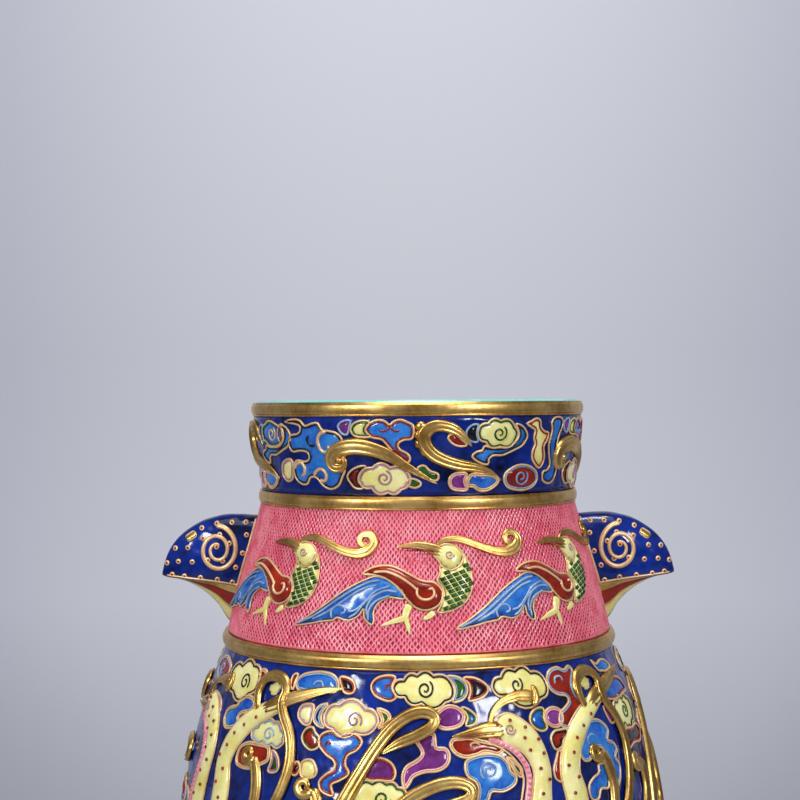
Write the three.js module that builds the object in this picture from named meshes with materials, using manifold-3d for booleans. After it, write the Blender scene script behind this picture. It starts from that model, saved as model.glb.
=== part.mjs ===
// A large-mouthed vase in the cloisonne style: five enamelled metal shells stacked and lapped,
// gilt bead rings over the laps, two wing-shaped handles pinned to the neck, and raised birds,
// scrolls, phoenixes and ribbons laid on the walls. Millimetres, +Z up, the origin under the
// middle of the foot.
import * as THREE from 'three';
import { TessellateModifier } from 'three/addons/modifiers/TessellateModifier.js';
import { mergeVertices } from 'three/addons/utils/BufferGeometryUtils.js';
import Module from 'manifold-3d';

const wasm = await Module();
wasm.setup();

// ---- driving dimensions ----
const HEIGHT = 310;
const WALL = 3;
const GAP = 0.3;
const LAP = 4;
const TONGUE = 1;
const SEGMENTS = 32;
const HALF_TURN = 180;

// The outer line of the wall as [height, radius], from the foot up.
const FOOT_LINE = [[6, 66.5], [10, 65.1], [16, 63.8], [23, 63.2]];
const HEM_LINE = [[27, 62.5], [36, 61.2], [44, 60.6]];
const BELLY_LINE = [[48, 62.2], [60, 66.5], [75, 73], [92, 79.6], [110, 84.6], [128, 87.1], [145, 87.5],
  [162, 86.2], [180, 83.2], [196, 79.4], [210, 75.1], [218, 71.2], [223.7, 69.6]];
const NECK_LINE = [[228.4, 68.8], [238, 66.8], [246.5, 64.2], [255, 62], [265, 58.8], [274.4, 56.6]];
const COLLAR_LINE = [[278.4, 56.4], [290, 57.8], [300, 59], [304.8, 59.2]];
const WALL_LINE = [...FOOT_LINE, ...HEM_LINE, ...BELLY_LINE, ...NECK_LINE, ...COLLAR_LINE, [HEIGHT, 59.2]];

// Each bead ring lies over a lap: the band that it covers, where the shells meet, and its outside.
const HEM_BEAD = { low: 23, seam: 25, high: 27, outer: 64.8 };
const WAIST_BEAD = { low: 44, seam: 46, high: 48, outer: 64.2 };
const SHOULDER_BEAD = { low: 223.7, seam: 226, high: 228.4, outer: 70.8 };
const COLLAR_BEAD = { low: 274.4, seam: 276.3, high: 278.2, outer: 57.5 };
const SEAT_DEPTH = 0.8;

const RIM = { low: 304.8, high: 309.3, outer: 60, seat: 58.4 };
const FOOT_RIM = { high: 6, outer: 68.5, inner: 56 };
const BASE_PLATE = { radius: 61.8, thickness: 3 };

// A handle's level sections, from the neck to the tip: reach, top, foot of the face, keel, half width.
const HANDLE_SECTIONS = [
  [52, 269.5, 240, 226, 8], [58, 269.4, 242, 226, 8], [64, 269.6, 243.3, 226.5, 8],
  [69, 269.6, 244.2, 230.5, 7.8], [73, 268.9, 244.9, 237, 7.4], [78, 266.9, 245.4, 241.7, 6.6],
  [83, 263.3, 245.9, 244.4, 5.2], [87, 259.9, 246.2, 245.7, 3.8], [90.2, 256.3, 246.4, 246.1, 2.4],
  [92.6, 249.5, 246.9, 246.6, 1],
];
const PIN = { radius: 2, headRadius: 3.4, headThickness: 1.2, headClear: 1.5, grip: 8, heights: [260, 248] };

// ---- finishes ----
function finish(colour, roughness, metalness) {
  return new THREE.MeshStandardMaterial({ color: colour, roughness, metalness });
}

const COBALT = finish(0x1a2f8c, 0.16, 0);
const PINK = finish(0xdf7084, 0.2, 0);
const GILT = finish(0xb08a48, 0.3, 1);
const CREAM = finish(0xe8e096, 0.18, 0);
const METAL = finish(0x8c6a3c, 0.45, 1);

// ---- solids ----
function solid(geometry) {
  const bare = geometry.clone();
  bare.deleteAttribute('normal');
  bare.deleteAttribute('uv');
  const merged = mergeVertices(bare);
  const vertProperties = new Float32Array(merged.attributes.position.array);
  const triVerts = new Uint32Array(merged.index.array);
  return new wasm.Manifold(new wasm.Mesh({ numProp: 3, vertProperties, triVerts }));
}

function meshOf(shape, name, material) {
  const { vertProperties, triVerts } = shape.getMesh();
  const geometry = new THREE.BufferGeometry();
  geometry.setAttribute('position', new THREE.BufferAttribute(new Float32Array(vertProperties), 3));
  geometry.setIndex(new THREE.BufferAttribute(new Uint32Array(triVerts), 1));
  geometry.computeVertexNormals();
  const mesh = new THREE.Mesh(geometry, material);
  mesh.name = name;
  return mesh;
}

// A closed profile of [radius, height] points turned about the axis, with its seam at the front.
function turned(profile) {
  const points = [...profile, profile[0]].map(([radius, height]) => new THREE.Vector2(radius, height));
  return new THREE.LatheGeometry(points, SEGMENTS).rotateX(Math.PI / 2);
}

// A pin-like cylinder along +X, from one reach to the other.
function crossCylinder(radius, from, to, height) {
  const geometry = new THREE.CylinderGeometry(radius, radius, to - from, 12);
  geometry.rotateZ(-Math.PI / 2);
  return geometry.translate((from + to) / 2, 0, height);
}

function radiusAt(height) {
  const above = WALL_LINE.findIndex(([level]) => level >= height);
  if (above <= 0) {
    return WALL_LINE[0][1];
  }
  const [lowLevel, lowRadius] = WALL_LINE[above - 1];
  const [highLevel, highRadius] = WALL_LINE[above];
  return lowRadius + ((highRadius - lowRadius) * (height - lowLevel)) / (highLevel - lowLevel);
}

function outerLine(line, low, high) {
  const inside = line.filter(([level]) => level > low + 1 && level < high - 1);
  const rows = [[low, radiusAt(low)], ...inside, [high, radiusAt(high)]];
  return rows.map(([level, radius]) => [radius, level]);
}

function seatRadius(bead) {
  return radiusAt(bead.seam) - SEAT_DEPTH;
}

// The inside of a shell, read downwards; every second row is enough, because it isn't seen.
function innerLine(line, low, high) {
  const outer = outerLine(line, low, high);
  const kept = outer.filter((row, index) => index % 2 === 0 || index === outer.length - 1);
  return kept.map(([radius, level]) => [radius - WALL, level]).reverse();
}

// The lower end of a shell: a step in from the seat and a tongue that stands in the shell below.
function tongue(seam) {
  const inner = radiusAt(seam) - WALL;
  return [[inner, seam - LAP], [inner + TONGUE, seam - LAP], [inner + TONGUE, seam]];
}

// The upper end of a shell: the seat for a bead ring outside, and a socket for the tongue inside.
function socket(bead) {
  const bore = radiusAt(bead.seam) - WALL + TONGUE + GAP;
  return [[radiusAt(bead.low), bead.low - GAP], [seatRadius(bead), bead.low - GAP],
    [seatRadius(bead), bead.seam - GAP], [bore, bead.seam - GAP], [bore, bead.seam - LAP - 2 * GAP]];
}

function seatAbove(bead) {
  return [[seatRadius(bead), bead.seam], [seatRadius(bead), bead.high + GAP]];
}

function midShell(line, lowBead, highBead) {
  const low = lowBead.high + GAP;
  const high = highBead.low - GAP;
  const outer = outerLine(line, low, high);
  const inner = innerLine(line, lowBead.seam, highBead.seam - LAP - 2 * GAP);
  return turned([...seatAbove(lowBead), ...outer.slice(0, -1), ...socket(highBead), ...inner,
    ...tongue(lowBead.seam)]);
}

// ---- the five shells, from the foot up ----
function footShell() {
  const low = FOOT_RIM.high + GAP;
  const outer = outerLine(FOOT_LINE, low, HEM_BEAD.low - GAP);
  const inner = innerLine(FOOT_LINE, low, HEM_BEAD.seam - LAP - 2 * GAP);
  return turned([...outer.slice(0, -1), ...socket(HEM_BEAD), ...inner, ...tongue(low)]);
}

function neckShell() {
  let neck = solid(midShell(NECK_LINE, SHOULDER_BEAD, COLLAR_BEAD));
  for (const height of PIN.heights) {
    const reach = radiusAt(height) + 2 * WALL;
    neck = neck.subtract(solid(crossCylinder(PIN.radius + GAP, -reach, reach, height)));
  }
  return neck;
}

function collarShell() {
  const low = COLLAR_BEAD.high + GAP;
  const outer = outerLine(COLLAR_LINE, low, RIM.low - GAP);
  const lip = [[RIM.seat, RIM.low - GAP], [RIM.seat, RIM.high], [57.7, HEIGHT], [56.9, HEIGHT], [56.2, 309.2]];
  const inner = innerLine(COLLAR_LINE, COLLAR_BEAD.seam, RIM.low - GAP);
  return turned([...seatAbove(COLLAR_BEAD), ...outer, ...lip, ...inner, ...tongue(COLLAR_BEAD.seam)]);
}

// ---- bead rings, rim, foot rim and base plate ----
function beadRing(low, high, seat, outer) {
  const bore = seat + GAP;
  const shoulder = (high - low) / 4;
  const crown = outer - 0.25 * (outer - bore);
  return turned([[bore, low], [crown, low], [outer, low + shoulder], [outer, high - shoulder],
    [crown, high], [bore, high]]);
}

function footRim() {
  const slot = radiusAt(FOOT_RIM.high + GAP) - WALL;
  const { inner, outer, high } = FOOT_RIM;
  return turned([[inner, 0], [outer - 1, 0], [outer, 1], [outer, high - 1], [outer - 1, high],
    [slot + TONGUE + 2 * GAP, high], [slot + TONGUE + 2 * GAP, high - LAP - GAP],
    [slot - GAP, high - LAP - GAP], [slot - GAP, high], [inner, high]]);
}

function basePlate() {
  const plate = new THREE.CylinderGeometry(BASE_PLATE.radius, BASE_PLATE.radius, BASE_PLATE.thickness, SEGMENTS);
  plate.rotateX(Math.PI / 2);
  return plate.translate(0, 0, FOOT_RIM.high + GAP + BASE_PLATE.thickness / 2);
}

// ---- handles and their pins, made for the +X side ----
// A twelve-sided section: a round back, a full face, and an undercut that runs in to a thin keel.
function handleSection(angle, [, top, face, keel, width]) {
  const up = Math.cos(angle);
  const across = Math.sin(angle);
  const middle = face + (top - face) * 0.42;
  if (up > -0.3) {
    return [across * width, middle + up * (top - middle)];
  }
  if (up > -0.75) {
    return [across * width, face];
  }
  return [across * Math.min(width, 3) * 0.8, keel + (up > -0.99 ? 0.5 : 0)];
}

function handleBody() {
  const sides = 12;
  const rings = HANDLE_SECTIONS.length - 1;
  const geometry = new THREE.CylinderGeometry(1, 1, 1, sides, rings);
  const place = geometry.attributes.position;
  for (let index = 0; index < place.count; index += 1) {
    const along = Math.round((place.getY(index) + 0.5) * rings);
    const angle = Math.atan2(-place.getX(index), place.getZ(index));
    const onAxis = Math.hypot(place.getX(index), place.getZ(index)) < 0.5;
    const section = HANDLE_SECTIONS[along];
    const [across, height] = onAxis ? [0, (section[1] + section[2]) / 2] : handleSection(angle, section);
    place.setXYZ(index, section[0], across, height);
  }
  return geometry;
}

// The neck and its lower bead, grown by the gap, which every handle is cut back to.
function neckFit() {
  const neck = NECK_LINE.map(([level, radius]) => [radius + GAP, level]);
  const bead = SHOULDER_BEAD.outer + GAP;
  return turned([[20, 215], [bead, 215], [bead, SHOULDER_BEAD.high + GAP],
    [radiusAt(SHOULDER_BEAD.high) + GAP, SHOULDER_BEAD.high + GAP], ...neck.slice(1), [20, 274.4]]);
}

function handle() {
  const core = new THREE.CylinderGeometry(40, 40, 70, SEGMENTS).rotateX(Math.PI / 2).translate(0, 0, 245);
  let body = solid(handleBody()).subtract(solid(core)).subtract(solid(neckFit()));
  for (const height of PIN.heights) {
    const end = radiusAt(height) + PIN.grip + GAP;
    body = body.subtract(solid(crossCylinder(PIN.radius + GAP, 40, end, height)));
  }
  return body;
}

function handlePin(height) {
  const inside = radiusAt(height) - WALL - PIN.headClear - PIN.headThickness;
  const shank = crossCylinder(PIN.radius, inside, radiusAt(height) + PIN.grip, height);
  const head = crossCylinder(PIN.headRadius, inside, inside + PIN.headThickness, height);
  return solid(shank).add(solid(head));
}

// ---- raised work: outlines in degrees round and millimetres below the rim ----
const NECK_BIRD = [[-7, 47.8], [0, 47], [6, 46.6], [12, 45.3], [19, 46.6], [25, 48], [28, 45.5], [31.5, 45],
  [33, 48], [30.5, 51], [25, 51], [18, 49.2], [13.5, 48.6], [15, 54], [15.4, 60], [13, 65.5], [9, 68],
  [3, 69.2], [1, 68.4], [-2.5, 71], [-4, 70.5], [-6.2, 66.3], [-10, 65], [-13, 69], [-14.5, 71.6],
  [-18, 69.8], [-24, 71.3], [-31, 71.5], [-37, 73.6], [-33, 71], [-24, 64], [-16.5, 57.5], [-14, 55],
  [-8, 53.8], [-3, 56.2], [1, 58.8], [5, 58.5], [5.4, 54], [4.4, 50.4], [-1, 49]];
const COLLAR_SCROLL_A = [[-26, 19], [-26, 23], [-29, 22.5], [-30.8, 19.5], [-30, 16], [-27, 13.7], [-22, 12.8],
  [-16, 13.8], [-10, 16.6], [-5, 20], [1, 23.8], [6, 27.7], [1, 27], [-5, 24], [-10, 20.8], [-15, 18.8],
  [-20, 18.4], [-24, 19.7]];
const COLLAR_SCROLL_B = [[-1.8, 9], [-0.5, 6.9], [3, 7.3], [7, 6.7], [11, 8.5], [14, 11.5], [17, 15.4],
  [12.5, 13], [9, 11], [5.5, 10.3], [3.8, 11.8], [4, 14.2], [7, 17], [13, 19.2], [20, 21], [25, 23.5],
  [28.8, 27], [23, 25], [16, 24], [9, 23], [5, 21], [2, 17.8], [-1.7, 15], [-1.2, 12]];
const PHOENIX = [[7.5, 105.7], [11, 104], [15.5, 103.2], [16.8, 99.5], [19.5, 96.6], [24.5, 94], [28.5, 93.4],
  [29.2, 92], [30.5, 94.5], [29.5, 98.5], [24.5, 97.3], [20.5, 98], [18.3, 100.6], [21.5, 100.4],
  [25, 102.2], [28, 106], [30, 111], [30.4, 118], [29.6, 126], [28.6, 136], [30, 148], [36, 158],
  [33, 170], [25, 176], [19, 168], [19, 156], [22.5, 144], [24, 132], [24.6, 122], [23.4, 116],
  [20, 111], [16, 107.2], [11, 106.4]];
const PLUME = [[33.6, 148], [33.8, 138], [34, 126], [33.4, 120], [35, 114], [38, 109], [42, 104.6],
  [46, 100.8], [44, 97.5], [43.2, 94], [45, 90.2], [48.5, 89.2], [52, 90.6], [53.6, 94], [58, 94.6],
  [64, 93], [70, 92.3], [64, 94.6], [58, 97], [54.6, 99.4], [50, 102.6], [45, 107], [41.6, 111.4],
  [39, 117], [38.6, 121], [40, 128], [39.6, 138], [38.5, 148]];
const RIBBON = [[-19, 126], [-14.5, 118], [-10.6, 108.6], [-6.6, 101], [-2, 98.2], [2.6, 98.4], [4, 101],
  [2, 104], [-3, 107.6], [-8.6, 111], [-10.2, 114.5], [-15, 124], [-17.6, 133], [-20, 146], [-22.4, 144]];
const RAISED_HEIGHT = 1.2;
const RAISED_GAP = 0.5;
const FACET = 8;
const FACET_PASSES = 24;

// A plate that follows the wall: the outline is drawn flat, given its thickness, cut into small
// facets and bent round the axis at the wall's own radius.
function raisedPlate(outline, turn) {
  const shape = new THREE.Shape(outline.map(([degrees, depth]) => new THREE.Vector2(degrees, HEIGHT - depth)));
  const flat = new THREE.ExtrudeGeometry(shape, { depth: RAISED_HEIGHT, steps: 1, bevelEnabled: false });
  const plate = new TessellateModifier(FACET, FACET_PASSES).modify(flat);
  const place = plate.attributes.position;
  for (let index = 0; index < place.count; index += 1) {
    const angle = THREE.MathUtils.degToRad(place.getX(index) + turn);
    const level = place.getY(index);
    const reach = radiusAt(level) + RAISED_GAP + place.getZ(index);
    place.setXYZ(index, reach * Math.sin(angle), -reach * Math.cos(angle), level);
  }
  return solid(plate);
}

const RAISED_SETS = [
  { name: 'neck_bird', outline: NECK_BIRD, turns: [0, 47.5, -47.5], material: CREAM },
  { name: 'collar_scroll_a', outline: COLLAR_SCROLL_A, turns: [0, 84], material: GILT },
  { name: 'collar_scroll_b', outline: COLLAR_SCROLL_B, turns: [0, -85], material: GILT },
  { name: 'phoenix', outline: PHOENIX, turns: [0, -90], material: CREAM },
  { name: 'plume', outline: PLUME, turns: [0, -90], material: CREAM },
  { name: 'ribbon', outline: RIBBON, turns: [0, -90], material: GILT },
];

// ---- assembly ----
const vase = new THREE.Group();

vase.add(meshOf(solid(footRim()), 'foot_rim', GILT));
vase.add(meshOf(solid(basePlate()), 'base_plate', METAL));
vase.add(meshOf(solid(footShell()), 'foot_shell', COBALT));
vase.add(meshOf(solid(midShell(HEM_LINE, HEM_BEAD, WAIST_BEAD)), 'hem_shell', PINK));
vase.add(meshOf(solid(midShell(BELLY_LINE, WAIST_BEAD, SHOULDER_BEAD)), 'belly_shell', COBALT));
vase.add(meshOf(neckShell(), 'neck_shell', PINK));
vase.add(meshOf(solid(collarShell()), 'collar_shell', COBALT));

const beads = { hem_ring: HEM_BEAD, waist_ring: WAIST_BEAD, shoulder_ring: SHOULDER_BEAD, collar_ring: COLLAR_BEAD };
for (const [name, bead] of Object.entries(beads)) {
  vase.add(meshOf(solid(beadRing(bead.low, bead.high, seatRadius(bead), bead.outer)), name, GILT));
}
vase.add(meshOf(solid(beadRing(RIM.low, RIM.high, RIM.seat, RIM.outer)), 'rim_ring', GILT));

for (const [side, turn] of [['right', 0], ['left', Math.PI]]) {
  const limb = new THREE.Group();
  limb.rotation.z = turn;
  limb.add(meshOf(handle(), `${side}_handle`, COBALT));
  PIN.heights.forEach((height, index) => {
    limb.add(meshOf(handlePin(height), `${side}_handle_pin_${index + 1}`, METAL));
  });
  vase.add(limb);
}

for (const { name, outline, turns, material } of RAISED_SETS) {
  const allTurns = [...turns, ...turns.map((turn) => turn + HALF_TURN)];
  allTurns.forEach((turn, index) => {
    vase.add(meshOf(raisedPlate(outline, turn), `${name}_${index + 1}`, material));
  });
}

export default vase;
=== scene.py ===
import math
import random

import bmesh
import bpy
import numpy as np
from mathutils import Matrix, Vector


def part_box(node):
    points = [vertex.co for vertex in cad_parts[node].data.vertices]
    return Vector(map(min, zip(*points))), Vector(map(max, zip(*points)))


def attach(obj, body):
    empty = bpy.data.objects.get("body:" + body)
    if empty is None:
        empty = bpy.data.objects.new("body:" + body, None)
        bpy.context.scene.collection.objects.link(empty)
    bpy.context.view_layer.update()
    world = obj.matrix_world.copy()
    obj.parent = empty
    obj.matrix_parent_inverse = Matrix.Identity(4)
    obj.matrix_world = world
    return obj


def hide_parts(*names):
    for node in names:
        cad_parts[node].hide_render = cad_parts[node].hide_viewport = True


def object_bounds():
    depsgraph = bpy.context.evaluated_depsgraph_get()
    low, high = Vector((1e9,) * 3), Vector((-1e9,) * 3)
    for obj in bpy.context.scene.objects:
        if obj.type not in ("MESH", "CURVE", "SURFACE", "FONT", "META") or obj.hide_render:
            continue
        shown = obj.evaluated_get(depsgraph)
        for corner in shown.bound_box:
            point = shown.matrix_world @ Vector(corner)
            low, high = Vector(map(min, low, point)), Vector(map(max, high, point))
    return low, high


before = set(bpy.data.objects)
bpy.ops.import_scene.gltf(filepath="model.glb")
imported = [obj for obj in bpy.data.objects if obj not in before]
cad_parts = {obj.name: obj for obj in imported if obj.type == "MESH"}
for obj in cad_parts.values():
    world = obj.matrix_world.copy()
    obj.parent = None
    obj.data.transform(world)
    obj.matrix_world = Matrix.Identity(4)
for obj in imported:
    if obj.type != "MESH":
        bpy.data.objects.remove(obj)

cad_low, cad_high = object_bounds()


# ---- Foot rim ----
# The gilt standing ring of the vase, cast and turned, with softened edges. The foot shell stands
# in its slot. Its gilding is satin and a little cloudy.
MM = 0.001
TOP = cad_high.z / MM
STEPS = 192


class Shade:
    """One output of a node; sums and products of shades add their own Math nodes."""

    def __init__(self, tree, socket=None):
        self.tree = tree
        self.socket = socket

    def node(self, kind, settings=None, sockets=None, output=0):
        made = self.tree.nodes.new(kind)
        for name, value in (settings or {}).items():
            if name == "stops":
                ramp = made.color_ramp
                while len(ramp.elements) < len(value):
                    ramp.elements.new(1)
                for element, (position, colour) in zip(ramp.elements, value):
                    element.position = position
                    element.color = (*colour, 1)
            else:
                setattr(made, name, value)
        for name, value in (sockets or {}).items():
            if isinstance(value, Shade):
                self.tree.links.new(value.socket, made.inputs[name])
            else:
                made.inputs[name].default_value = value
        return Shade(self.tree, made.outputs[output] if len(made.outputs) else None)

    def maths(self, operation, first, second):
        return self.node("ShaderNodeMath", {"operation": operation}, {0: first, 1: second})

    def __add__(self, other):
        return self.maths("ADD", self, other)

    def __mul__(self, other):
        return self.maths("MULTIPLY", self, other)

    def __sub__(self, other):
        return self.maths("SUBTRACT", self, other)

    __radd__ = __add__
    __rmul__ = __mul__


def linear(red, green, blue):
    """A colour named in the usual 0 to 255, as the shader wants it."""
    parts = [value / 255 for value in (red, green, blue)]
    return tuple(p / 12.92 if p <= 0.04045 else ((p + 0.055) / 1.055) ** 2.4 for p in parts)


palette = []


def finish(name, build):
    """Makes a material, lets build fill its tree, and gives its number in the palette."""
    material = bpy.data.materials.new(name)
    material.use_nodes = True
    tree = material.node_tree
    tree.nodes.clear()
    start = Shade(tree)
    place = start.node("ShaderNodeTexCoord", output="Object")
    surface = build(start, place)
    start.node("ShaderNodeOutputMaterial", sockets={"Surface": surface})
    palette.append(material)
    return len(palette) - 1


def noise(start, place, scale, detail=3.0, roughness=0.55):
    return start.node("ShaderNodeTexNoise", sockets={"Vector": place, "Scale": scale, "Detail": detail,
                                                     "Roughness": roughness})


def blend_colours(start, factor, first, second):
    return start.node("ShaderNodeMix", {"data_type": "RGBA"}, {0: factor, 6: first, 7: second}, output=2)


def gilding(dark, light, rough, grain):
    """Satin gilding: cloudy in colour and shine, with the fine grain of the metal under it."""
    def build(start, place):
        cloud = noise(start, place, 90, 4)
        patch = noise(start, place, 700, 2)
        share = start.node("ShaderNodeMapRange", sockets={0: cloud * 0.7 + patch * 0.3, 1: 0.36, 2: 0.62})
        colour = blend_colours(start, share, (*linear(*dark), 1), (*linear(*light), 1))
        bump = start.node("ShaderNodeBump", sockets={"Strength": grain, "Distance": 0.0002,
                                                     "Height": noise(start, place, 2600, 2)})
        return start.node("ShaderNodeBsdfPrincipled", sockets={
            "Base Color": colour, "Metallic": 1.0, "Roughness": rough + 0.16 * (cloud - 0.5), "Normal": bump})
    return build


GILT = finish("gilt", gilding((188, 140, 66), (244, 204, 126), 0.32, 0.2))


def turned(profile, steps=STEPS):
    """A closed outline of (radius, level) points in mm, spun about the axis."""
    made = bmesh.new()
    verts = [made.verts.new((0, -radius, level)) for radius, level in profile]
    edges = [made.edges.new(pair) for pair in zip(verts, verts[1:] + verts[:1])]
    bmesh.ops.spin(made, geom=verts + edges, cent=(0, 0, 0), axis=(0, 0, 1), dvec=(0, 0, 0),
                   angle=math.tau, steps=steps, use_merge=True, use_duplicate=False)
    bmesh.ops.recalc_face_normals(made, faces=made.faces)
    return made


def stay(mesh):
    """For meshes that are already in place: only millimetres become metres."""
    mesh.transform(Matrix.Scale(MM, 4))


def piece(name, made, bend=stay, nodes=()):
    """Turns a made shape into a placed piece that rides with the vase and stands for some nodes."""
    mesh = bpy.data.meshes.new(name)
    used = sorted({face.material_index for face in made.faces})
    for face in made.faces:
        face.material_index = used.index(face.material_index)
        face.smooth = True
    made.to_mesh(mesh)
    for face in made.faces:
        face.material_index = used[face.material_index]
    for index in used:
        mesh.materials.append(palette[index])
    bend(mesh)
    shown = bpy.data.objects.new(name, mesh)
    bpy.context.scene.collection.objects.link(shown)
    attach(shown, "root")
    if nodes:
        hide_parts(*nodes)
    return shown


def paint_all(made, finish_number):
    for face in made.faces:
        face.material_index = finish_number


def arc(centre, radius, start, end, steps):
    """Points on a circle of (radius, level), from one angle to another in degrees."""
    angles = [math.radians(start + (end - start) * step / steps) for step in range(steps + 1)]
    return [(centre[0] + radius * math.cos(a), centre[1] + radius * math.sin(a)) for a in angles]


rim_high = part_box("foot_rim")[1]
foot_reach = rim_high.x / MM
foot_top = rim_high.z / MM
FOOT_BORE = 56
EDGE = 1.6
foot_profile = [(FOOT_BORE, 0.6), (FOOT_BORE + 0.6, 0)]
foot_profile += arc((foot_reach - EDGE, EDGE), EDGE, -90, 0, 5)
foot_profile += arc((foot_reach - EDGE, foot_top - EDGE), EDGE, 0, 90, 5)
foot_profile += [(FOOT_BORE + 0.6, foot_top), (FOOT_BORE, foot_top - 0.6)]
rim = turned(foot_profile)
paint_all(rim, GILT)
piece("standing_ring", rim, nodes=["foot_rim"])


# ---- Base plate ----
# The disc that closes the bottom, on the ledge of the standing ring. It is plain worked metal
# below and turquoise glaze above, with the shallow rings of the wheel that it was turned on.
METAL = finish("worked_metal", gilding((84, 58, 32), (140, 104, 62), 0.45, 0.6))


def enamel(deep, bright, mottle=140, shine=0.1, ripple=0.5):
    """Fired enamel: its colour pools darker and paler, over a rippled glassy surface."""
    def build(start, place):
        pool = noise(start, place, mottle, 4)
        fleck = noise(start, place, mottle * 7, 2)
        share = start.node("ShaderNodeMapRange", sockets={0: pool * 0.75 + fleck * 0.25, 1: 0.36, 2: 0.64})
        colour = blend_colours(start, share, (*linear(*deep), 1), (*linear(*bright), 1))
        waves = noise(start, place, 130, 1)
        bump = start.node("ShaderNodeBump", sockets={"Strength": ripple, "Distance": 0.0012, "Height": waves})
        return start.node("ShaderNodeBsdfPrincipled", sockets={
            "Base Color": colour, "Roughness": shine + 0.1 * fleck, "IOR": 1.46, "Normal": bump})
    return build


TURQUOISE = finish("turquoise_glaze", enamel((104, 188, 186), (150, 222, 214), 40))
plate_low, plate_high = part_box("base_plate")
plate_reach = plate_high.x / MM
disc = bmesh.new()
bmesh.ops.create_cone(disc, cap_ends=True, segments=96, radius1=plate_reach, radius2=plate_reach,
                      depth=(plate_high.z - plate_low.z) / MM,
                      matrix=Matrix.Translation((0, 0, (plate_low.z + plate_high.z) / 2 / MM)))
for groove in (52, 36, 20):
    caps = [face for face in disc.faces if abs(face.normal.z) > 0.9 and len(face.verts) > 8]
    for cap in caps:
        reach = max(vert.co.xy.length for vert in cap.verts)
        bmesh.ops.inset_region(disc, faces=[cap], thickness=reach - groove, depth=0)
        bmesh.ops.inset_region(disc, faces=[cap], thickness=0.8, depth=-0.35)
for face in disc.faces:
    face.material_index = TURQUOISE if face.calc_center_median().z > plate_high.z / MM - 0.6 else METAL
piece("closing_plate", disc, nodes=["base_plate"])


# ---- Shell walls ----
# Five raised shells of copper with a wall of about 3 mm. Each is enamelled cobalt or pink outside
# and turquoise inside, and its lower end stands in the shell below it, under a bead ring.
WALL = 3
SEAT = 0.8
COBALT = finish("cobalt_ground", enamel((0, 6, 42), (8, 43, 144), 75, 0.08, 0.9))
SHELLS = {
    "foot_shell": ("foot_rim", "hem_ring", 3),
    "hem_shell": ("hem_ring", "waist_ring", 3),
    "belly_shell": ("waist_ring", "shoulder_ring", 7),
    "neck_shell": ("shoulder_ring", "collar_ring", 3),
    "collar_shell": ("collar_ring", "rim_ring", 3),
}


def wall_reach(node, level):
    """How far a shell's outer wall stands from the axis at a level, looked up along the front."""
    start = Vector((1e-5, cad_low.y - 0.1, level * MM))
    found, place, _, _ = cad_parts[node].ray_cast(start, Vector((0, 1, 0)))
    return -place.y / MM if found else None


wall_levels = []
wall_radii = []
shell_span = {}
for node, (lower, upper, degree) in SHELLS.items():
    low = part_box(lower)[1].z / MM
    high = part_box(upper)[0].z / MM
    probes = np.linspace(low + 0.6, high - 0.6, 40)
    curve = np.polynomial.Polynomial.fit(probes, [wall_reach(node, level) for level in probes], degree)
    levels = np.arange(low, high, 0.5)
    wall_levels.extend(levels)
    wall_radii.extend(curve(levels))
    shell_span[node] = (low, high)


def wall_radius(level):
    return np.interp(level, wall_levels, wall_radii)


def shell(node, ground, pitch, steps=STEPS, lip=()):
    """A shell from seam to seam, enamelled outside with ground and inside with turquoise."""
    low, high = shell_span[node]
    lower, upper, _ = SHELLS[node]
    seam_low = (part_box(lower)[0].z / MM + low) / 2
    seam_high = (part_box(upper)[1].z / MM + high) / 2
    rows = max(2, round((high - low) / pitch))
    outside = [(float(wall_radius(level)), level) for level in np.linspace(low, high, rows + 1)]
    outside = [(outside[0][0] - SEAT, seam_low), (outside[0][0] - SEAT, low)] + outside
    if lip:
        outside += lip
    else:
        outside += [(outside[-1][0] - SEAT, high), (outside[-1][0] - SEAT, seam_high)]
    inside_levels = np.linspace(outside[-1][1] - 0.8, seam_low, max(4, rows // 5))
    inside = [(float(wall_radius(level)) - WALL, level) for level in inside_levels]
    made = turned(outside + inside, steps)
    for face in made.faces:
        middle = face.calc_center_median()
        inner = middle.xy.length < wall_radius(middle.z) - WALL / 2
        face.material_index = TURQUOISE if inner or middle.z > high + 2 else ground
    return made


foot = shell("foot_shell", COBALT, 2.2)
piece("foot_wall", foot, nodes=["foot_shell"])


# ---- Foot clouds ----
# Clouds in cloisonne work ring the foot. Each is a cell: a gold wire bent to the outline and
# soldered down, a thin coloured line inside it, and a fill of enamel that stands in a low dome.
def wire_gold(start, place):
    """Pale gold of the soldered wires, patchy in colour and shine."""
    dark, light = (*linear(196, 140, 84), 1), (*linear(255, 226, 176), 1)
    colour = blend_colours(start, noise(start, place, 300), dark, light)
    return start.node("ShaderNodeBsdfPrincipled", sockets={
        "Base Color": colour, "Metallic": 0.3, "Roughness": 0.25 + 0.15 * noise(start, place, 500)})


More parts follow.
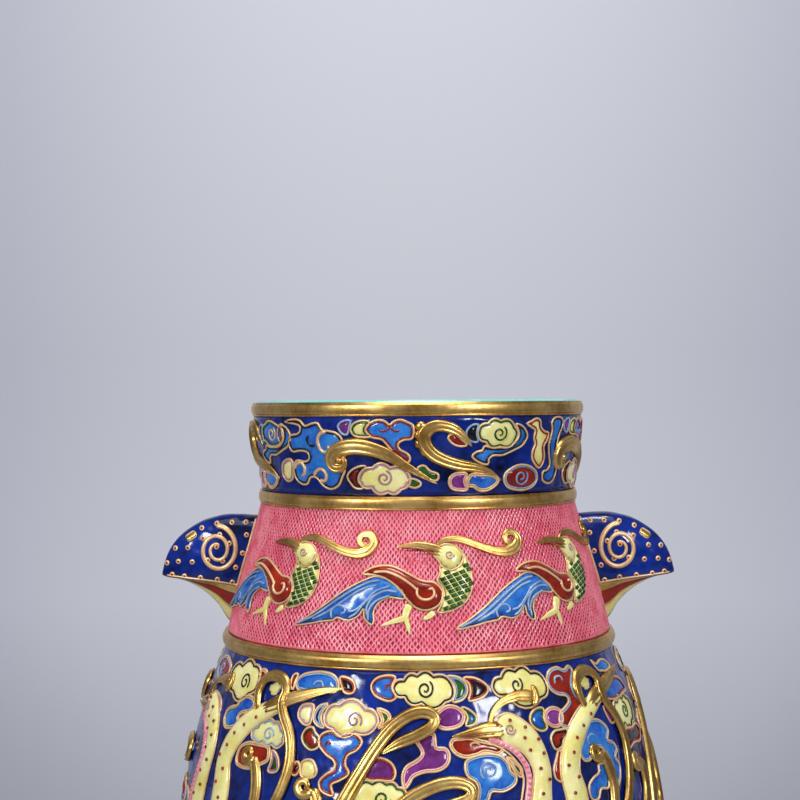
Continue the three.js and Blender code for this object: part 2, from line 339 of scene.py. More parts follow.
PEACH = finish("outline_gold", wire_gold)
RED = finish("brick_red", enamel((106, 16, 4), (162, 38, 14), 150))
CREAM = finish("cream_yellow", enamel((226, 214, 116), (246, 240, 176), 120))
BLUE = finish("sky_blue", enamel((12, 68, 170), (58, 136, 218), 110))
GREEN = finish("leaf_green", enamel((14, 54, 12), (50, 100, 24), 130))
PURPLE = finish("purple", enamel((86, 26, 92), (140, 62, 146), 110))
BLACK = finish("black", enamel((8, 6, 12), (26, 22, 34), 130))
ICE = finish("pale_blue", enamel((104, 130, 172), (158, 182, 208), 120))
LILAC = finish("lilac", enamel((150, 104, 130), (190, 150, 170), 120))
ROSE = finish("pale_pink", enamel((214, 132, 146), (242, 186, 190), 120))
CELL_RISE = 0.6
WIRE = 0.4
LINE = 0.26
QUARTERS = (0, 90, 180, 270)
BANDS = {"collar": 1.012, "neck": 1.08, "belly": 1.36, "base": 1.12}


def smooth_line(points, spacing, closed=False):
    """Evenly spaced points on the smooth curve through the given ones; extra values ride along."""
    given = np.array(points, float)
    if closed:
        padded = np.vstack([given[-1:], given, given[:2]])
    else:
        padded = np.vstack([2 * given[:1] - given[1:2], given, 2 * given[-1:] - given[-2:-1]])
    fine = []
    for before, start, end, after in zip(padded, padded[1:], padded[2:], padded[3:]):
        for step in range(10):
            t = step / 10
            curve = 2 * start + (end - before) * t
            curve = curve + (2 * before - 5 * start + 4 * end - after) * t ** 2
            curve = curve + (3 * start - before - 3 * end + after) * t ** 3
            fine.append(0.5 * curve)
    fine.append(given[0] if closed else given[-1])
    fine = np.array(fine)
    run = np.concatenate([[0], np.cumsum(np.hypot(*np.diff(fine[:, :2], axis=0).T))])
    count = max(3, round(run[-1] / spacing))
    stops = np.linspace(0, run[-1], count + 1)
    line = np.column_stack([np.interp(stops, run, column) for column in fine.T])
    return line[:-1] if closed else line


def section_round(turn):
    return math.cos(math.tau * turn), math.sin(math.tau * turn)


def join(made, part, finish_number):
    """Paints a small part and adds it to a larger drawing."""
    paint_all(part, finish_number)
    scratch = bpy.data.meshes.new("scratch")
    part.to_mesh(scratch)
    part.free()
    made.from_mesh(scratch)
    bpy.data.meshes.remove(scratch)


def sweep(made, line, finish_number, section=section_round, lift=0.0, around=7, closed=False, rise=9.0):
    """Draws a section along a line of (x, y, half width), with rounded ends."""
    path = np.vstack([line, line[:1]]) if closed else line
    ahead = np.gradient(path[:, :2], axis=0)
    if closed:
        ahead[0] = ahead[-1] = path[1, :2] - path[-2, :2]
    ahead /= np.maximum(np.hypot(*ahead.T), 1e-6)[:, None]
    widths = path[:, 2].copy()
    if not closed:
        run = np.concatenate([[0], np.cumsum(np.hypot(*np.diff(path[:, :2], axis=0).T))])
        from_end = np.minimum(run, run[-1] - run)
        cap = np.clip(from_end / np.maximum(widths, 1e-3), 0, 1)
        widths *= np.sqrt(1 - (1 - cap) ** 2)
    last = len(path) - 1
    part = bmesh.new()
    bmesh.ops.create_grid(part, x_segments=last, y_segments=around, size=0.5)
    for vert in part.verts:
        place = round((vert.co.x + 0.5) * last)
        across, height = section(vert.co.y + 0.5)
        width = widths[place]
        along = ahead[place]
        x = path[place, 0] - along[1] * width * across
        y = path[place, 1] + along[0] * width * across
        vert.co = (x, y, lift + height * min(width, rise))
    bmesh.ops.remove_doubles(part, verts=part.verts, dist=1e-4)
    join(made, part, finish_number)


def stud(made, x, y, wide, tall, height, finish_number, lift=0.0):
    """A small flattened bead of enamel."""
    part = bmesh.new()
    bmesh.ops.create_uvsphere(part, u_segments=8, v_segments=5, radius=1,
        matrix=Matrix.LocRotScale((x, y, lift), None, (wide, tall, height)))
    join(made, part, finish_number)


class Drawing:
    """Raised work drawn flat for one band: degrees round the vase and mm below the mouth."""

    def __init__(self, band):
        self.made = bmesh.new()
        self.scale = BANDS[band]

    def flat(self, points):
        """Points, with any widths after them, in plain millimetres."""
        return [(point[0] * self.scale, -point[1], *point[2:]) for point in points]

    def coil(self, x, y, reach, turns=1.6, start=0, spin=1):
        """A curl that winds inwards round a place."""
        points = []
        for step in range(round(turns * 12) + 1):
            angle = math.radians(start + spin * 30 * step)
            size = reach * (1 - 0.88 * step / (turns * 12))
            points.append((x + size * math.cos(angle) / self.scale, y + size * math.sin(angle)))
        return points

    def place(self, name, slot, turn=0.0, nodes=()):
        """Bends a copy round the vase, onto its wall."""
        def bend(mesh):
            spots = np.empty(len(mesh.vertices) * 3, np.float32)
            mesh.vertices.foreach_get("co", spots)
            x, y, lift = spots.reshape(-1, 3).T.astype(float)
            angle = np.radians(x / self.scale + turn)
            reach = wall_radius(TOP + y) + lift
            placed = np.column_stack([reach * np.sin(angle), -reach * np.cos(angle), TOP + y]) * MM
            mesh.vertices.foreach_set("co", placed.astype(np.float32).ravel())
        piece(name, self.made, bend, nodes)

    def place_all(self, name, slot, turns, node=None):
        """A numbered copy at every turn, each standing for the node of its number."""
        for number, turn in enumerate(turns, 1):
            self.place(f"{name}_{number}", slot, turn, [f"{node}_{number}"] if node else ())


def wire(art, points, width, finish_number, lift=0.3, spacing=0.8, closed=False):
    line = smooth_line([(*point[:2], width) for point in art.flat(points)], spacing, closed)
    sweep(art.made, line, finish_number, lift=lift, closed=closed)


def dot(art, x, y, size, height, finish_number, lift=0.0):
    stud(art.made, x * art.scale, -y, size, size, height, finish_number, lift)


def shrunk(line, inset):
    """A closed line moved inwards by an even distance."""
    ahead = np.roll(line, -1, axis=0)[:, :2] - np.roll(line, 1, axis=0)[:, :2]
    ahead /= np.maximum(np.hypot(*ahead.T), 1e-6)[:, None]
    x, y = line[:, 0], line[:, 1]
    area = np.sum(x * np.roll(y, -1) - y * np.roll(x, -1))
    inward = np.column_stack([-ahead[:, 1], ahead[:, 0]]) * (1 if area > 0 else -1)
    return line[:, :2] + inward * inset


def cell(made, outline, finish_number, rise=CELL_RISE, mesh_step=1.3, reach=3):
    """A domed fill: the outline is filled, cut into small faces and raised away from its edge."""
    fill = bmesh.new()
    ring = [fill.verts.new((x, y, 0)) for x, y in outline[:, :2]]
    fill.faces.new(ring)
    for axis in (0, 1):
        normal = Vector((axis == 0, axis == 1, 0))
        for cut in np.arange(outline[:, axis].min() + mesh_step / 2, outline[:, axis].max(), mesh_step):
            bmesh.ops.bisect_plane(fill, geom=fill.verts[:] + fill.edges[:] + fill.faces[:], dist=1e-5,
                plane_co=normal * cut, plane_no=normal)
    places = np.array([vert.co.xy[:] for vert in fill.verts])
    away = np.hypot(*(places[:, None] - outline[None, :, :2]).transpose(2, 0, 1)).min(axis=1)
    heights = rise * np.sqrt(1 - (1 - np.minimum(away / reach, 1)) ** 2) - 0.1
    for vert, height in zip(fill.verts, heights):
        vert.co.z = -0.2 if vert.is_boundary else height
    bmesh.ops.holes_fill(fill, edges=[e for e in fill.edges if e.is_boundary], sides=0)
    bmesh.ops.recalc_face_normals(fill, faces=fill.faces)
    if sum(face.normal.z * face.calc_area() for face in fill.faces if len(face.verts) < 40) < 0:
        bmesh.ops.reverse_faces(fill, faces=fill.faces)
    join(made, fill, finish_number)


def scalloped(points, bulge=0.24):
    """Rounds every side of an outline outwards, so it becomes a row of lobes."""
    corners = np.array([point[:2] for point in points[::2 if len(points) > 11 else 1]], float)
    nexts = np.roll(corners, -1, axis=0)
    area = np.sum(corners[:, 0] * nexts[:, 1] - corners[:, 1] * nexts[:, 0])
    lobes = []
    for start, end in zip(corners, nexts):
        along = end - start
        out = np.array([along[1], -along[0]]) * (1 if area > 0 else -1)
        for step in range(6):
            share = step / 6
            lobes.append(start + along * share + out * bulge * 4 * share * (1 - share))
    return np.array(lobes)


def cloud(art, outline, fill, line=None, marks=(), mark_finish=None, rim=PEACH, lobed=None):
    """An enamelled cell with its gold wire, the coloured line inside it, and curls on its fill."""
    drawn = art.flat(outline)
    if lobed or (lobed is None and fill == CREAM and len(outline) > 8):
        edge = scalloped(drawn)
    else:
        edge = smooth_line(drawn, 0.8, closed=True)
    cell(art.made, edge, fill)
    sweep(art.made, np.column_stack([edge, np.full(len(edge), WIRE)]), rim, lift=0.3, closed=True)
    if line is not None:
        inner = shrunk(edge, WIRE + LINE)
        sweep(art.made, np.column_stack([inner, np.full(len(inner), LINE)]), line, lift=0.44, closed=True)
    for mark in marks:
        wire(art, mark, 0.36, mark_finish if mark_finish is not None else rim, 0.5)


def section_ribbed(turn):
    """A low arch with two soft grooves, closed underneath."""
    if turn <= 0.75:
        across = -math.cos(math.pi * turn / 0.75)
        arch = 0.72 * math.sqrt(max(0, 1 - across ** 4))
        return across, arch * (1 + 0.24 * math.cos(3 * math.pi * across)) - 0.12
    return 1 - 2 * (turn - 0.75) / 0.25, -0.12


def scroll(art, points, finish_number, spacing=0.8, section=section_ribbed, lift=0.0, rise=9.0):
    line = smooth_line(art.flat(points), spacing)
    line[:, 2] = np.maximum(line[:, 2], 0.12)
    sweep(art.made, line, finish_number, section, lift=lift, around=16, rise=rise)


PUFF = [(-1, 0.15), (-0.86, -0.45), (-0.45, -0.6), (-0.1, -1), (0.42, -0.9), (0.62, -0.5), (1, -0.2),
    (0.95, 0.5), (0.5, 0.7), (0.2, 0.95), (-0.35, 0.8), (-0.75, 0.75)]
PUFF_CURL = [(0.5, 0.35), (0.55, -0.25), (0.05, -0.55), (-0.4, -0.25), (-0.3, 0.25), (0.05, 0.25)]
PUFF_SIDE = [(1.05, -0.55), (1.5, -0.5), (1.8, 0.1), (1.5, 0.75), (1, 0.8), (1.2, 0.15)]


def puff(art, x, y, size, flip, fill, line, left, right):
    """A round cloud between two half-hidden ones, as large as asked."""
    def put(points, side=1):
        return [(x + size * flip * side * px, y + size * 0.8 * py) for px, py in points]
    cloud(art, put(PUFF), fill, line, [put(PUFF_CURL)], line, lobed=True)
    if left is not None:
        cloud(art, put(PUFF_SIDE, -1), left, ICE if left in (GREEN, BLUE) else RED)
    if right is not None:
        cloud(art, put(PUFF_SIDE), right, RED if right == BLACK else PEACH)


foot_clouds = Drawing("base")
for number, (fill, line, left, right) in enumerate(((CREAM, LILAC, GREEN, BLUE), (RED, ICE, BLUE, GREEN),
        (BLUE, PEACH, BLACK, RED))):
    puff(foot_clouds, 30 * number + 15, 294.6, 5.6, 1, fill, line, left, right)
foot_clouds.place_all("foot_clouds", "cobalt_enamel", QUARTERS)


# ---- Pink scale bands ----
# The hem band and the neck carry a pink ground pitted all over in staggered rows, like a net of
# fish scales. Each pit's floor is painted a darker pink than the ground around it.
PINK = finish("pink_ground", enamel((228, 92, 116), (252, 148, 162), 160, 0.08, 0.3))
PIT = finish("pink_pits", enamel((122, 12, 42), (184, 44, 76), 200, 0.14, 0.2))
PIT_COLUMNS = 236
PIT_ROW = 1.1
PIT_SQUEEZE = 0.68


def pitted(node):
    """A pink shell whose outside is a net of small sunk diamonds."""
    made = shell(node, PINK, PIT_ROW, PIT_COLUMNS)
    low, high = shell_span[node]
    outer = []
    for face in made.faces:
        centre = face.calc_center_median()
        on_wall = centre.xy.length > wall_radius(centre.z) - SEAT / 2
        if face.material_index == PINK and low < centre.z < high and on_wall:
            outer.append(face)
    bmesh.ops.delete(made, geom=outer, context="FACES")
    rows = 2 * round((high - low) / PIT_ROW / 2)
    chance = random.Random(7)
    net = []
    for row in range(rows + 1):
        loose = 0 if row in (0, rows) else 0.15
        level = low + (high - low) * row / rows
        net.append([])
        for column in range(PIT_COLUMNS):
            reach = float(wall_radius(level)) + chance.uniform(-loose, loose) * 0.8
            turn = math.tau * (column + row % 2 / 2 + chance.uniform(-loose, loose)) / PIT_COLUMNS
            net[-1].append(made.verts.new((reach * math.sin(turn), -reach * math.cos(turn),
                level + chance.uniform(-loose, loose))))
    diamonds = []
    for row in range(rows + 1):
        for column in range(PIT_COLUMNS):
            tip = (column + row % 2) % PIT_COLUMNS
            corners = [net[row][column], net[row][(column + 1) % PIT_COLUMNS]]
            if row > 0:
                corners.insert(1, net[row - 1][tip])
            if row < rows:
                corners.append(net[row + 1][tip])
            face = made.faces.new(corners)
            face.material_index = PINK
            if len(corners) == 4:
                diamonds.append(face)
    made.normal_update()
    bmesh.ops.inset_individual(made, faces=diamonds, thickness=0.15, depth=-0.27, use_even_offset=True)
    for face in diamonds:
        face.material_index = PIT
        centre = face.calc_center_median()
        for vert in face.verts:
            vert.co = centre + (vert.co - centre) * Vector((PIT_SQUEEZE, PIT_SQUEEZE, 1))
    bmesh.ops.remove_doubles(made, verts=made.verts, dist=1e-3)
    bmesh.ops.recalc_face_normals(made, faces=made.faces)
    return made


piece("hem_wall", pitted("hem_shell"), nodes=["hem_shell"])
hem_clouds = Drawing("base")
for number, (fill, line, left, right) in enumerate(((CREAM, BLACK, BLUE, GREEN), (BLUE, RED, GREEN, CREAM),
        (RED, ICE, BLUE, CREAM))):
    puff(hem_clouds, 30 * number, 274.4, 5.4, 1 if number % 2 else -1, fill, line, left, right)
hem_clouds.place_all("hem_clouds", "pink_enamel", QUARTERS)


# ---- Belly ----
# The full round body, the largest shell, in cobalt. Its lower end stands in the band below, under
# the waist ring.
belly = shell("belly_shell", COBALT, 2.2)
piece("belly_wall", belly, nodes=["belly_shell"])


# ---- Belly clouds ----
# Clouds in every colour fill the cobalt between the raised work. The upper ones are drawn one by
# one for half the vase and repeat on the other half. The lower ones come in three-part groups.
UPPER_CLOUDS = [
    ([(-7, 92), (-6.2, 90), (-4.3, 89.6), (-3.3, 88.5), (-1, 88.2), (0.8, 88.8), (3, 88.4), (6, 89.6),
        (7.9, 92.2), (7.6, 94.4), (5.6, 96), (3, 96.3), (0, 96.2), (-2.3, 95.3), (-4, 94.4), (-6, 94)],
        CREAM, BLACK, (0.9, 92.2, 2.9, 1.7, -60)),
    ([(-12.7, 91.3), (-11.5, 89.3), (-9, 88.4), (-6.8, 88.9), (-7.6, 91.4), (-6.4, 94.2), (-8, 95.6),
        (-10.5, 94.8), (-12, 93.5)], BLUE, RED, [(-8, 90.6), (-9.2, 91.4), (-8.8, 92.8)]),
    ([(6.8, 88.7), (9.5, 89), (11.2, 90.6), (11.6, 92.8), (10.3, 95.3), (7.8, 95.9), (8.6, 93),
        (8.2, 90.6)], GREEN, ICE, None),
    ([(11.2, 89.3), (14, 89.5), (16.4, 91.2), (17, 93), (15.4, 95), (12, 95.8), (12.6, 93.3), (12.4, 91)],
        BLACK, RED, None),
    ([(18.7, 92.5), (19.4, 90.3), (21.4, 89.6), (22.8, 88.3), (25.5, 88), (28, 89), (30, 88.9),
        (32.7, 90.6), (34, 93), (33.6, 95), (31.5, 96.8), (27, 96.5), (22, 95), (19.6, 94.4)], CREAM, BLACK,
        (25.2, 92.2, 2.5, 1.5, -60)),
    ([(-23.9, 101), (-23, 98.8), (-20.5, 97.6), (-17.5, 97), (-14, 98.4), (-11.5, 99.6), (-10.8, 102),
        (-12, 104.6), (-16, 105.4), (-19, 105.6), (-21.5, 104.6), (-23.4, 103)], CREAM, LILAC,
        (-16.4, 101.8, 2.7, 1.6, 40, -1)),
    ([(-27, 100.4), (-26, 98.4), (-23.8, 97.7), (-25, 100), (-25, 102.4), (-24, 104.4), (-25.8, 104),
        (-27, 102.4)], BLACK, ICE, None),
    ([(-31.6, 100.6), (-30.8, 98.6), (-28, 98.2), (-27.6, 100.4), (-28, 103.8), (-29.6, 104),
        (-31.2, 102.4)], CREAM, LILAC, None),
    ([(-10.8, 98.2), (-8.5, 99), (-7.6, 100.8), (-8.6, 102.8), (-10.4, 103.8), (-9.6, 101.6),
        (-10.2, 99.8)], GREEN, PEACH, None),
    ([(-34, 91.5), (-32.6, 89.6), (-30, 88.6), (-27, 88.2), (-24, 88.8), (-22.4, 90.4), (-22, 92.4),
        (-23.4, 93.8), (-32, 94), (-33.6, 93)], BLUE, ICE, [(-25.6, 93), (-26.6, 91), (-28.4, 91.2),
        (-28.8, 92.6)]),
    ([(-21.4, 89.3), (-18.6, 89.8), (-17.3, 91.6), (-17.6, 93.6), (-19.6, 93.7), (-20.6, 92)], BLACK, RED,
        None),
    ([(-62.5, 92.5), (-60.5, 90.3), (-57.5, 89.8), (-55.3, 88.9), (-52, 88.9), (-49.3, 90.3), (-48, 92.8),
        (-48.6, 95.6), (-50.6, 97.7), (-54, 98.3), (-58, 98.4), (-61, 97)], CREAM, BLACK,
        (-53.6, 94.4, 3, 1.6, 40, -1)),
    ([(-48.2, 90.4), (-46, 90), (-45.4, 93), (-46.4, 97.4), (-47.8, 97)], RED, PEACH, None),
    ([(-35.8, 90), (-34.4, 89.6), (-34.8, 92), (-34.8, 94), (-36, 93)], RED, None, None),
    ([(4.2, 99), (6.4, 97.4), (8.8, 98), (10.2, 100.2), (9.4, 102.8), (7, 104), (4.4, 103.6), (3.4, 101)],
        PURPLE, ROSE, None),
    ([(-1.7, 107.6), (0.6, 106), (2.6, 105.6), (3, 107.5), (3.2, 109.6), (5.2, 110), (6, 112), (5.4, 114.6),
        (3.4, 116.2), (0.4, 116.6), (-1.8, 117.8), (-2.6, 119.6), (-3.7, 121.2), (-4.2, 118), (-3.4, 115),
        (-1.2, 113.2), (0, 111.4), (-0.8, 109)], PURPLE, ROSE, None),
    ([(9.9, 98), (11.6, 98.7), (13.2, 100.8), (12.6, 102.8), (10.6, 103.2), (11.2, 101), (10.7, 99.4)],
        BLUE, GREEN, None),
    ([(6.8, 109), (7.6, 107.2), (9.6, 107), (11.3, 106.9), (14, 108), (17.5, 109.4), (18.8, 111),
        (17.4, 112.3), (14.6, 111.4), (12.6, 112.2), (10, 112.6), (7.9, 111.4)], RED, PEACH, [(11.6, 110.2),
        (11.3, 108.8), (12.6, 108.4), (13.8, 109.4)]),
    ([(10, 116.5), (10.4, 114), (12.6, 112.8), (15.4, 112.4), (18.2, 113.4), (19.6, 115.6), (20, 117.8),
        (21.2, 119.4), (20.6, 121.6), (18, 123.2), (15.4, 123), (14.4, 125.4), (12, 127), (12.6, 122.4),
        (12, 119.8), (10.6, 118.6)], BLUE, ICE, (15.2, 117, 3, 1.7, 120)),
    ([(19.8, 113.6), (21.4, 114.6), (23, 117), (22.8, 119.6), (21.6, 118.4), (20.6, 116)], GREEN, PEACH,
        None),
    ([(27.3, 103.5), (28, 101.2), (29.8, 100), (31.6, 100.4), (31, 103), (31.6, 105.6), (30.2, 106.6),
        (28.4, 105.6)], BLUE, GREEN, None),
    ([(31.6, 103), (32.5, 101), (34.5, 100.3), (36.6, 101.4), (36.8, 104.2), (35, 106), (32.8, 105.4)],
        PURPLE, ROSE, None),
    ([(35, 92.4), (36.6, 89.6), (39.5, 88.9), (41.6, 90), (43.8, 89), (44.6, 91), (43, 94), (43, 97),
        (44.4, 99.6), (44.6, 101), (42, 103), (40, 105.4), (38.2, 106.6), (36, 105), (36.6, 102),
        (38.6, 100.6), (40.4, 99), (39.8, 97.3), (37.5, 96.6), (35.6, 95)], RED, ICE, [(37, 93.6),
        (37.6, 91.4), (39.6, 91.2), (40, 93)]),
    ([(32.3, 109.4), (33.6, 107.5), (35.6, 107.3), (37.4, 107.4), (37, 109), (35.6, 110.4), (35, 112),
        (33, 112.6)], RED, BLACK, None),
    ([(33.8, 113.4), (32.6, 116), (31.6, 118.6), (31.8, 121.4), (33.4, 122.6), (34.6, 121), (34.2, 119.2),
        (33.6, 118.2), (34.4, 115)], RED, None, None),
    ([(43, 110), (45.5, 107), (48.5, 106.8), (51, 108.4), (52.2, 111), (51, 113.4), (53, 114.6), (54, 117),
        (52.6, 119), (53.6, 121.4), (53, 125), (51, 128), (50.4, 125.6), (50.6, 121), (49.6, 117.6),
        (47.4, 114.8), (45, 115.6), (43.4, 117.8), (41.4, 117.6), (40.6, 115), (41.4, 112)], BLUE, ICE,
        [(44, 113.6), (43.4, 111.6), (45.2, 110.2), (46.6, 111.4)]),
    ([(45.6, 120.4), (47.4, 120.6), (48.2, 124), (47.6, 127.6), (45, 127.4), (43.6, 130), (41.6, 129.6),
        (41.2, 126), (43, 123.8), (45.2, 122.6)], BLUE, None, None),
    ([(55, 88.4), (57, 90), (60, 89.2), (63, 89.8), (64.8, 92), (61.5, 92.8), (59, 92.4), (57, 91.8)], BLUE,
        None, None),
    ([(55.4, 100), (57, 97.4), (60, 96), (64, 95.6), (67.5, 96.4), (70, 98.6), (70.6, 101), (66, 101.4),
        (63, 102), (59, 101.6)], BLUE, RED, None),
    ([(58, 107), (58.8, 104.4), (61.4, 103.2), (65, 102.8), (68.4, 103.4), (70.6, 106), (70, 109.4),
        (67.6, 111), (64.6, 111.9), (62.4, 110.6), (59.8, 110.2)], CREAM, GREEN,
        (64.4, 106.6, 2.9, 1.6, -90)),
    ([(53.4, 103.5), (56, 103), (57.6, 105), (57, 108), (54.8, 108.4)], PURPLE, None, None),
    ([(58.5, 113.5), (62, 112.4), (66, 113), (70, 112.6), (72.4, 115), (70, 118), (65, 117.4),
        (60.5, 118.2)], BLACK, RED, None),
    ([(-58, 104.5), (-56.4, 103), (-54, 102), (-53, 99.6), (-51, 98.7), (-48.4, 98.9), (-47, 100.6),
        (-48, 102.8), (-51, 104), (-52.2, 105.6), (-51, 106.8), (-53, 108.6), (-56.5, 109.5),
        (-58.2, 107.4)], BLUE, PEACH, None),
    ([(-45, 109), (-43.6, 106.8), (-41.4, 105), (-38.6, 104.9), (-36, 106.6), (-35, 109.2), (-35.2, 111.2),
        (-38, 111.4), (-41, 111.2), (-43.6, 111)], CREAM, ICE, (-39.4, 108.6, 2.4, 1.5, 20, -1)),
    ([(-48.8, 117), (-48, 114), (-45.6, 112.4), (-42.4, 112.2), (-39, 112.6), (-38.4, 116), (-40, 117.8),
        (-44, 120), (-48, 119.6)], RED, PEACH, None),
    ([(-37.4, 113.4), (-35.6, 115), (-34.8, 117.6), (-35.4, 119.4), (-37.6, 119.6), (-37.2, 116.6)], GREEN,
        LILAC, None),
    ([(-24.6, 109.5), (-24, 107), (-21.6, 105.9), (-19.6, 107), (-17.8, 106.2), (-15.6, 106.6),
        (-14.4, 108.4), (-15.4, 110.8), (-17.4, 112.4), (-17.8, 115), (-16.8, 117.6), (-18.8, 119.6),
        (-20.6, 121), (-20, 124), (-22.6, 123), (-23.4, 120.4), (-21.8, 118), (-20.2, 116.6),
        (-20.4, 114.2), (-22.6, 112.4)], BLUE, RED, [(-21.4, 109.6), (-22.6, 108.6), (-23, 110.2)]),
    ([(-29.4, 108), (-28.6, 105.6), (-27, 105), (-26, 106.6), (-24.9, 107.8), (-24.8, 110.2),
        (-26.6, 111.4), (-28.4, 110.2)], RED, GREEN, None),
    ([(-13, 116.6), (-11.4, 113.6), (-9.4, 112.9), (-7.2, 114.2), (-6.2, 116.8), (-6.8, 119), (-9, 119.2),
        (-11.4, 119.2), (-12.8, 118.4)], PURPLE, RED, None),
    ([(-15, 123.4), (-14, 121), (-11, 120.2), (-8, 120.2), (-5.6, 121.4), (-3.8, 123.6), (-3.4, 126.4),
        (-7, 128.6), (-12, 128.4), (-15, 126.4)], CREAM, GREEN, (-8.8, 124.6, 2.6, 1.6, 0)),
    ([(-30.8, 117), (-29.8, 115.6), (-28.9, 117.4), (-29.8, 119.6), (-31, 119)], BLACK, RED, None),
    ([(-28.4, 115.6), (-26, 114.8), (-24.6, 117.6), (-25.4, 119.6), (-28.2, 119.6)], CREAM, None, None),
    ([(-76, 93), (-74.4, 90.2), (-71, 89), (-67.6, 89.8), (-65, 91.6), (-65.4, 94.6), (-68.6, 96.2),
        (-73, 95.8)], RED, ICE, (-70.4, 92.8, 2.4, 1.5, 30)),
    ([(-74, 104.6), (-71.6, 101.6), (-67.6, 100.8), (-64, 102.4), (-62.4, 105.6), (-64.6, 108.4),
        (-69, 109), (-73, 107.6)], CREAM, LILAC, (-68, 105.2, 2.6, 1.5, 30)),
    ([(76, 93), (78, 90), (82, 88.8), (86, 90), (88, 92.6), (86, 95.6), (81, 96.4), (77.4, 95.4)], CREAM,
        BLACK, (82.2, 92.6, 2.6, 1.5, 30)),
    ([(78, 103), (80.6, 100.4), (84.6, 100), (88.4, 101.8), (89.4, 105), (86.4, 107.6), (81.6, 107.4),
        (78.8, 106)], BLUE, RED, (83.8, 104, 2.3, 1.4, 30)),
    ([(75, 112.4), (78, 109.8), (82, 110.4), (84, 113.4), (82, 117), (78, 117.8), (75.4, 115.6)], GREEN,
        PEACH, None),
]
LOWER_PUFFS = [
    (-40, 146, 5.8, 1, CREAM, BLACK, BLUE, GREEN), (-13, 142, 5.8, 1, CREAM, LILAC, BLACK, GREEN),
    (9, 137, 5.5, -1, BLUE, RED, GREEN, BLACK), (-3, 152, 6.2, 1, RED, ICE, GREEN, BLUE),
    (-19, 157, 5.5, -1, BLUE, ICE, RED, BLACK), (8, 162, 5.8, 1, CREAM, GREEN, RED, BLUE),
    (-9, 170, 6.2, 1, PURPLE, ROSE, BLUE, GREEN), (-42, 160, 5.5, 1, RED, ICE, BLUE, BLACK),
    (-40, 172, 6.2, -1, CREAM, LILAC, GREEN, RED), (10, 179, 5.8, -1, BLUE, PEACH, BLACK, RED),
    (-24, 183, 6.2, 1, CREAM, BLACK, RED, GREEN), (-42, 191, 5.8, 1, BLUE, RED, PURPLE, GREEN),
    (30, 190, 5.8, 1, RED, PEACH, BLACK, BLUE), (6, 199, 6.5, 1, CREAM, GREEN, BLUE, PURPLE),
    (-20, 201, 5.8, -1, PURPLE, ROSE, RED, GREEN), (-36, 206, 6.5, 1, CREAM, BLACK, BLUE, RED),
    (26, 207, 6.2, -1, BLUE, ICE, GREEN, RED), (-6, 213, 5.8, 1, RED, ICE, BLACK, GREEN),
    (40, 202, 5.2, 1, GREEN, ICE, RED, None), (14, 218, 5.5, 1, CREAM, LILAC, BLUE, RED),
    (-24, 219, 5.8, 1, BLUE, RED, GREEN, PURPLE), (36, 219, 5.5, 1, PURPLE, ROSE, BLUE, None),
]

CLOUD_SWELL = 1.06
upper = Drawing("belly")
for outline, fill, line, curl in UPPER_CLOUDS:
    middle = np.mean(outline, axis=0)
    if isinstance(curl, tuple):
        curl = upper.coil(*curl)
    swollen = middle + (np.array(outline) - middle) * CLOUD_SWELL
    cloud(upper, swollen, fill, line, [curl] if curl else [], line)
for turn, place_name in ((0, "front"), (180, "back")):
    upper.place(f"belly_clouds_{place_name}", "cobalt_enamel", turn)
lower = Drawing("belly")
for group in LOWER_PUFFS:
    puff(lower, *group)
lower.place_all("belly_low_clouds", "cobalt_enamel", QUARTERS)


# ---- Lappet band ----
# A row of upright lotus petals rises from the waist ring, each a gold-edged cell with a second,
# paler petal inside it.
LAPPETS = 12
lappets = Drawing("belly")
for number in range(LAPPETS // 4):
    middle = (number - 1) * 360 / LAPPETS
    petal = [(-12.6, 260), (-12.8, 250), (-12, 241), (-7.4, 236), (-2.6, 233.6), (0, 228), (2.6, 233.6),
        (7.4, 236), (12, 241), (12.8, 250), (12.6, 260)]
    heart = [(-7, 259.6), (-7.6, 252), (-6.6, 246), (-3, 243), (0, 238.6), (3, 243), (6.6, 246), (7.6, 252),
        (7, 259.6)]
    heart = [(middle + x, y) for x, y in heart]
    fill, inner = ((BLUE, CREAM), (RED, BLUE), (GREEN, ROSE))[number]
    cloud(lappets, [(middle + x * 1.08, y) for x, y in petal], fill, PEACH)
    cell(lappets.made, smooth_line(lappets.flat(heart), 0.9, True), inner, 0.95)
    wire(lappets, heart, 0.3, PEACH, 0.6, closed=True)
    wire(lappets, [(middle + x, y) for x, y in ((2.4, 255), (3.6, 251), (1, 247.6), (-3, 249),
        (-3.4, 253.4), (-0.4, 255), (0.8, 252.6))], 0.3, PEACH, 0.95)
    cloud(lappets, [(middle + x, y) for x, y in ((15, 233), (17, 236.6), (16.6, 241), (15, 245),
        (13.4, 241), (13, 236.6))], CREAM, RED)
lappets.place_all("lappets", "cobalt_enamel", QUARTERS)


# ---- Gold ribbons and tendrils ----
# Grooved gold bands, about 2 mm proud, loop over the clouds, and thinner stems end in coiled
# knobs. They are cast, bent and soldered on, then gilt.
def section_dome(turn):
    """A full round back on a flat foot."""
    if turn <= 0.75:
        angle = math.pi * turn / 0.75
        return -math.cos(angle), math.sin(angle) ** 0.75 - 0.12
    return 1 - 2 * (turn - 0.75) / 0.25, -0.12


def knob(art, x, y, size):
    """A coiled gold bud at the head of a stem."""
    bud = []
    for step in range(16):
        angle = step * 0.52
        reach = size * (1 - step / 20)
        bud.append((x + reach * math.cos(angle) / art.scale, y + reach * math.sin(angle),
            0.62 * size * (1 - step / 26)))
    scroll(art, bud, GILT, spacing=0.7, section=section_dome, lift=0.5)


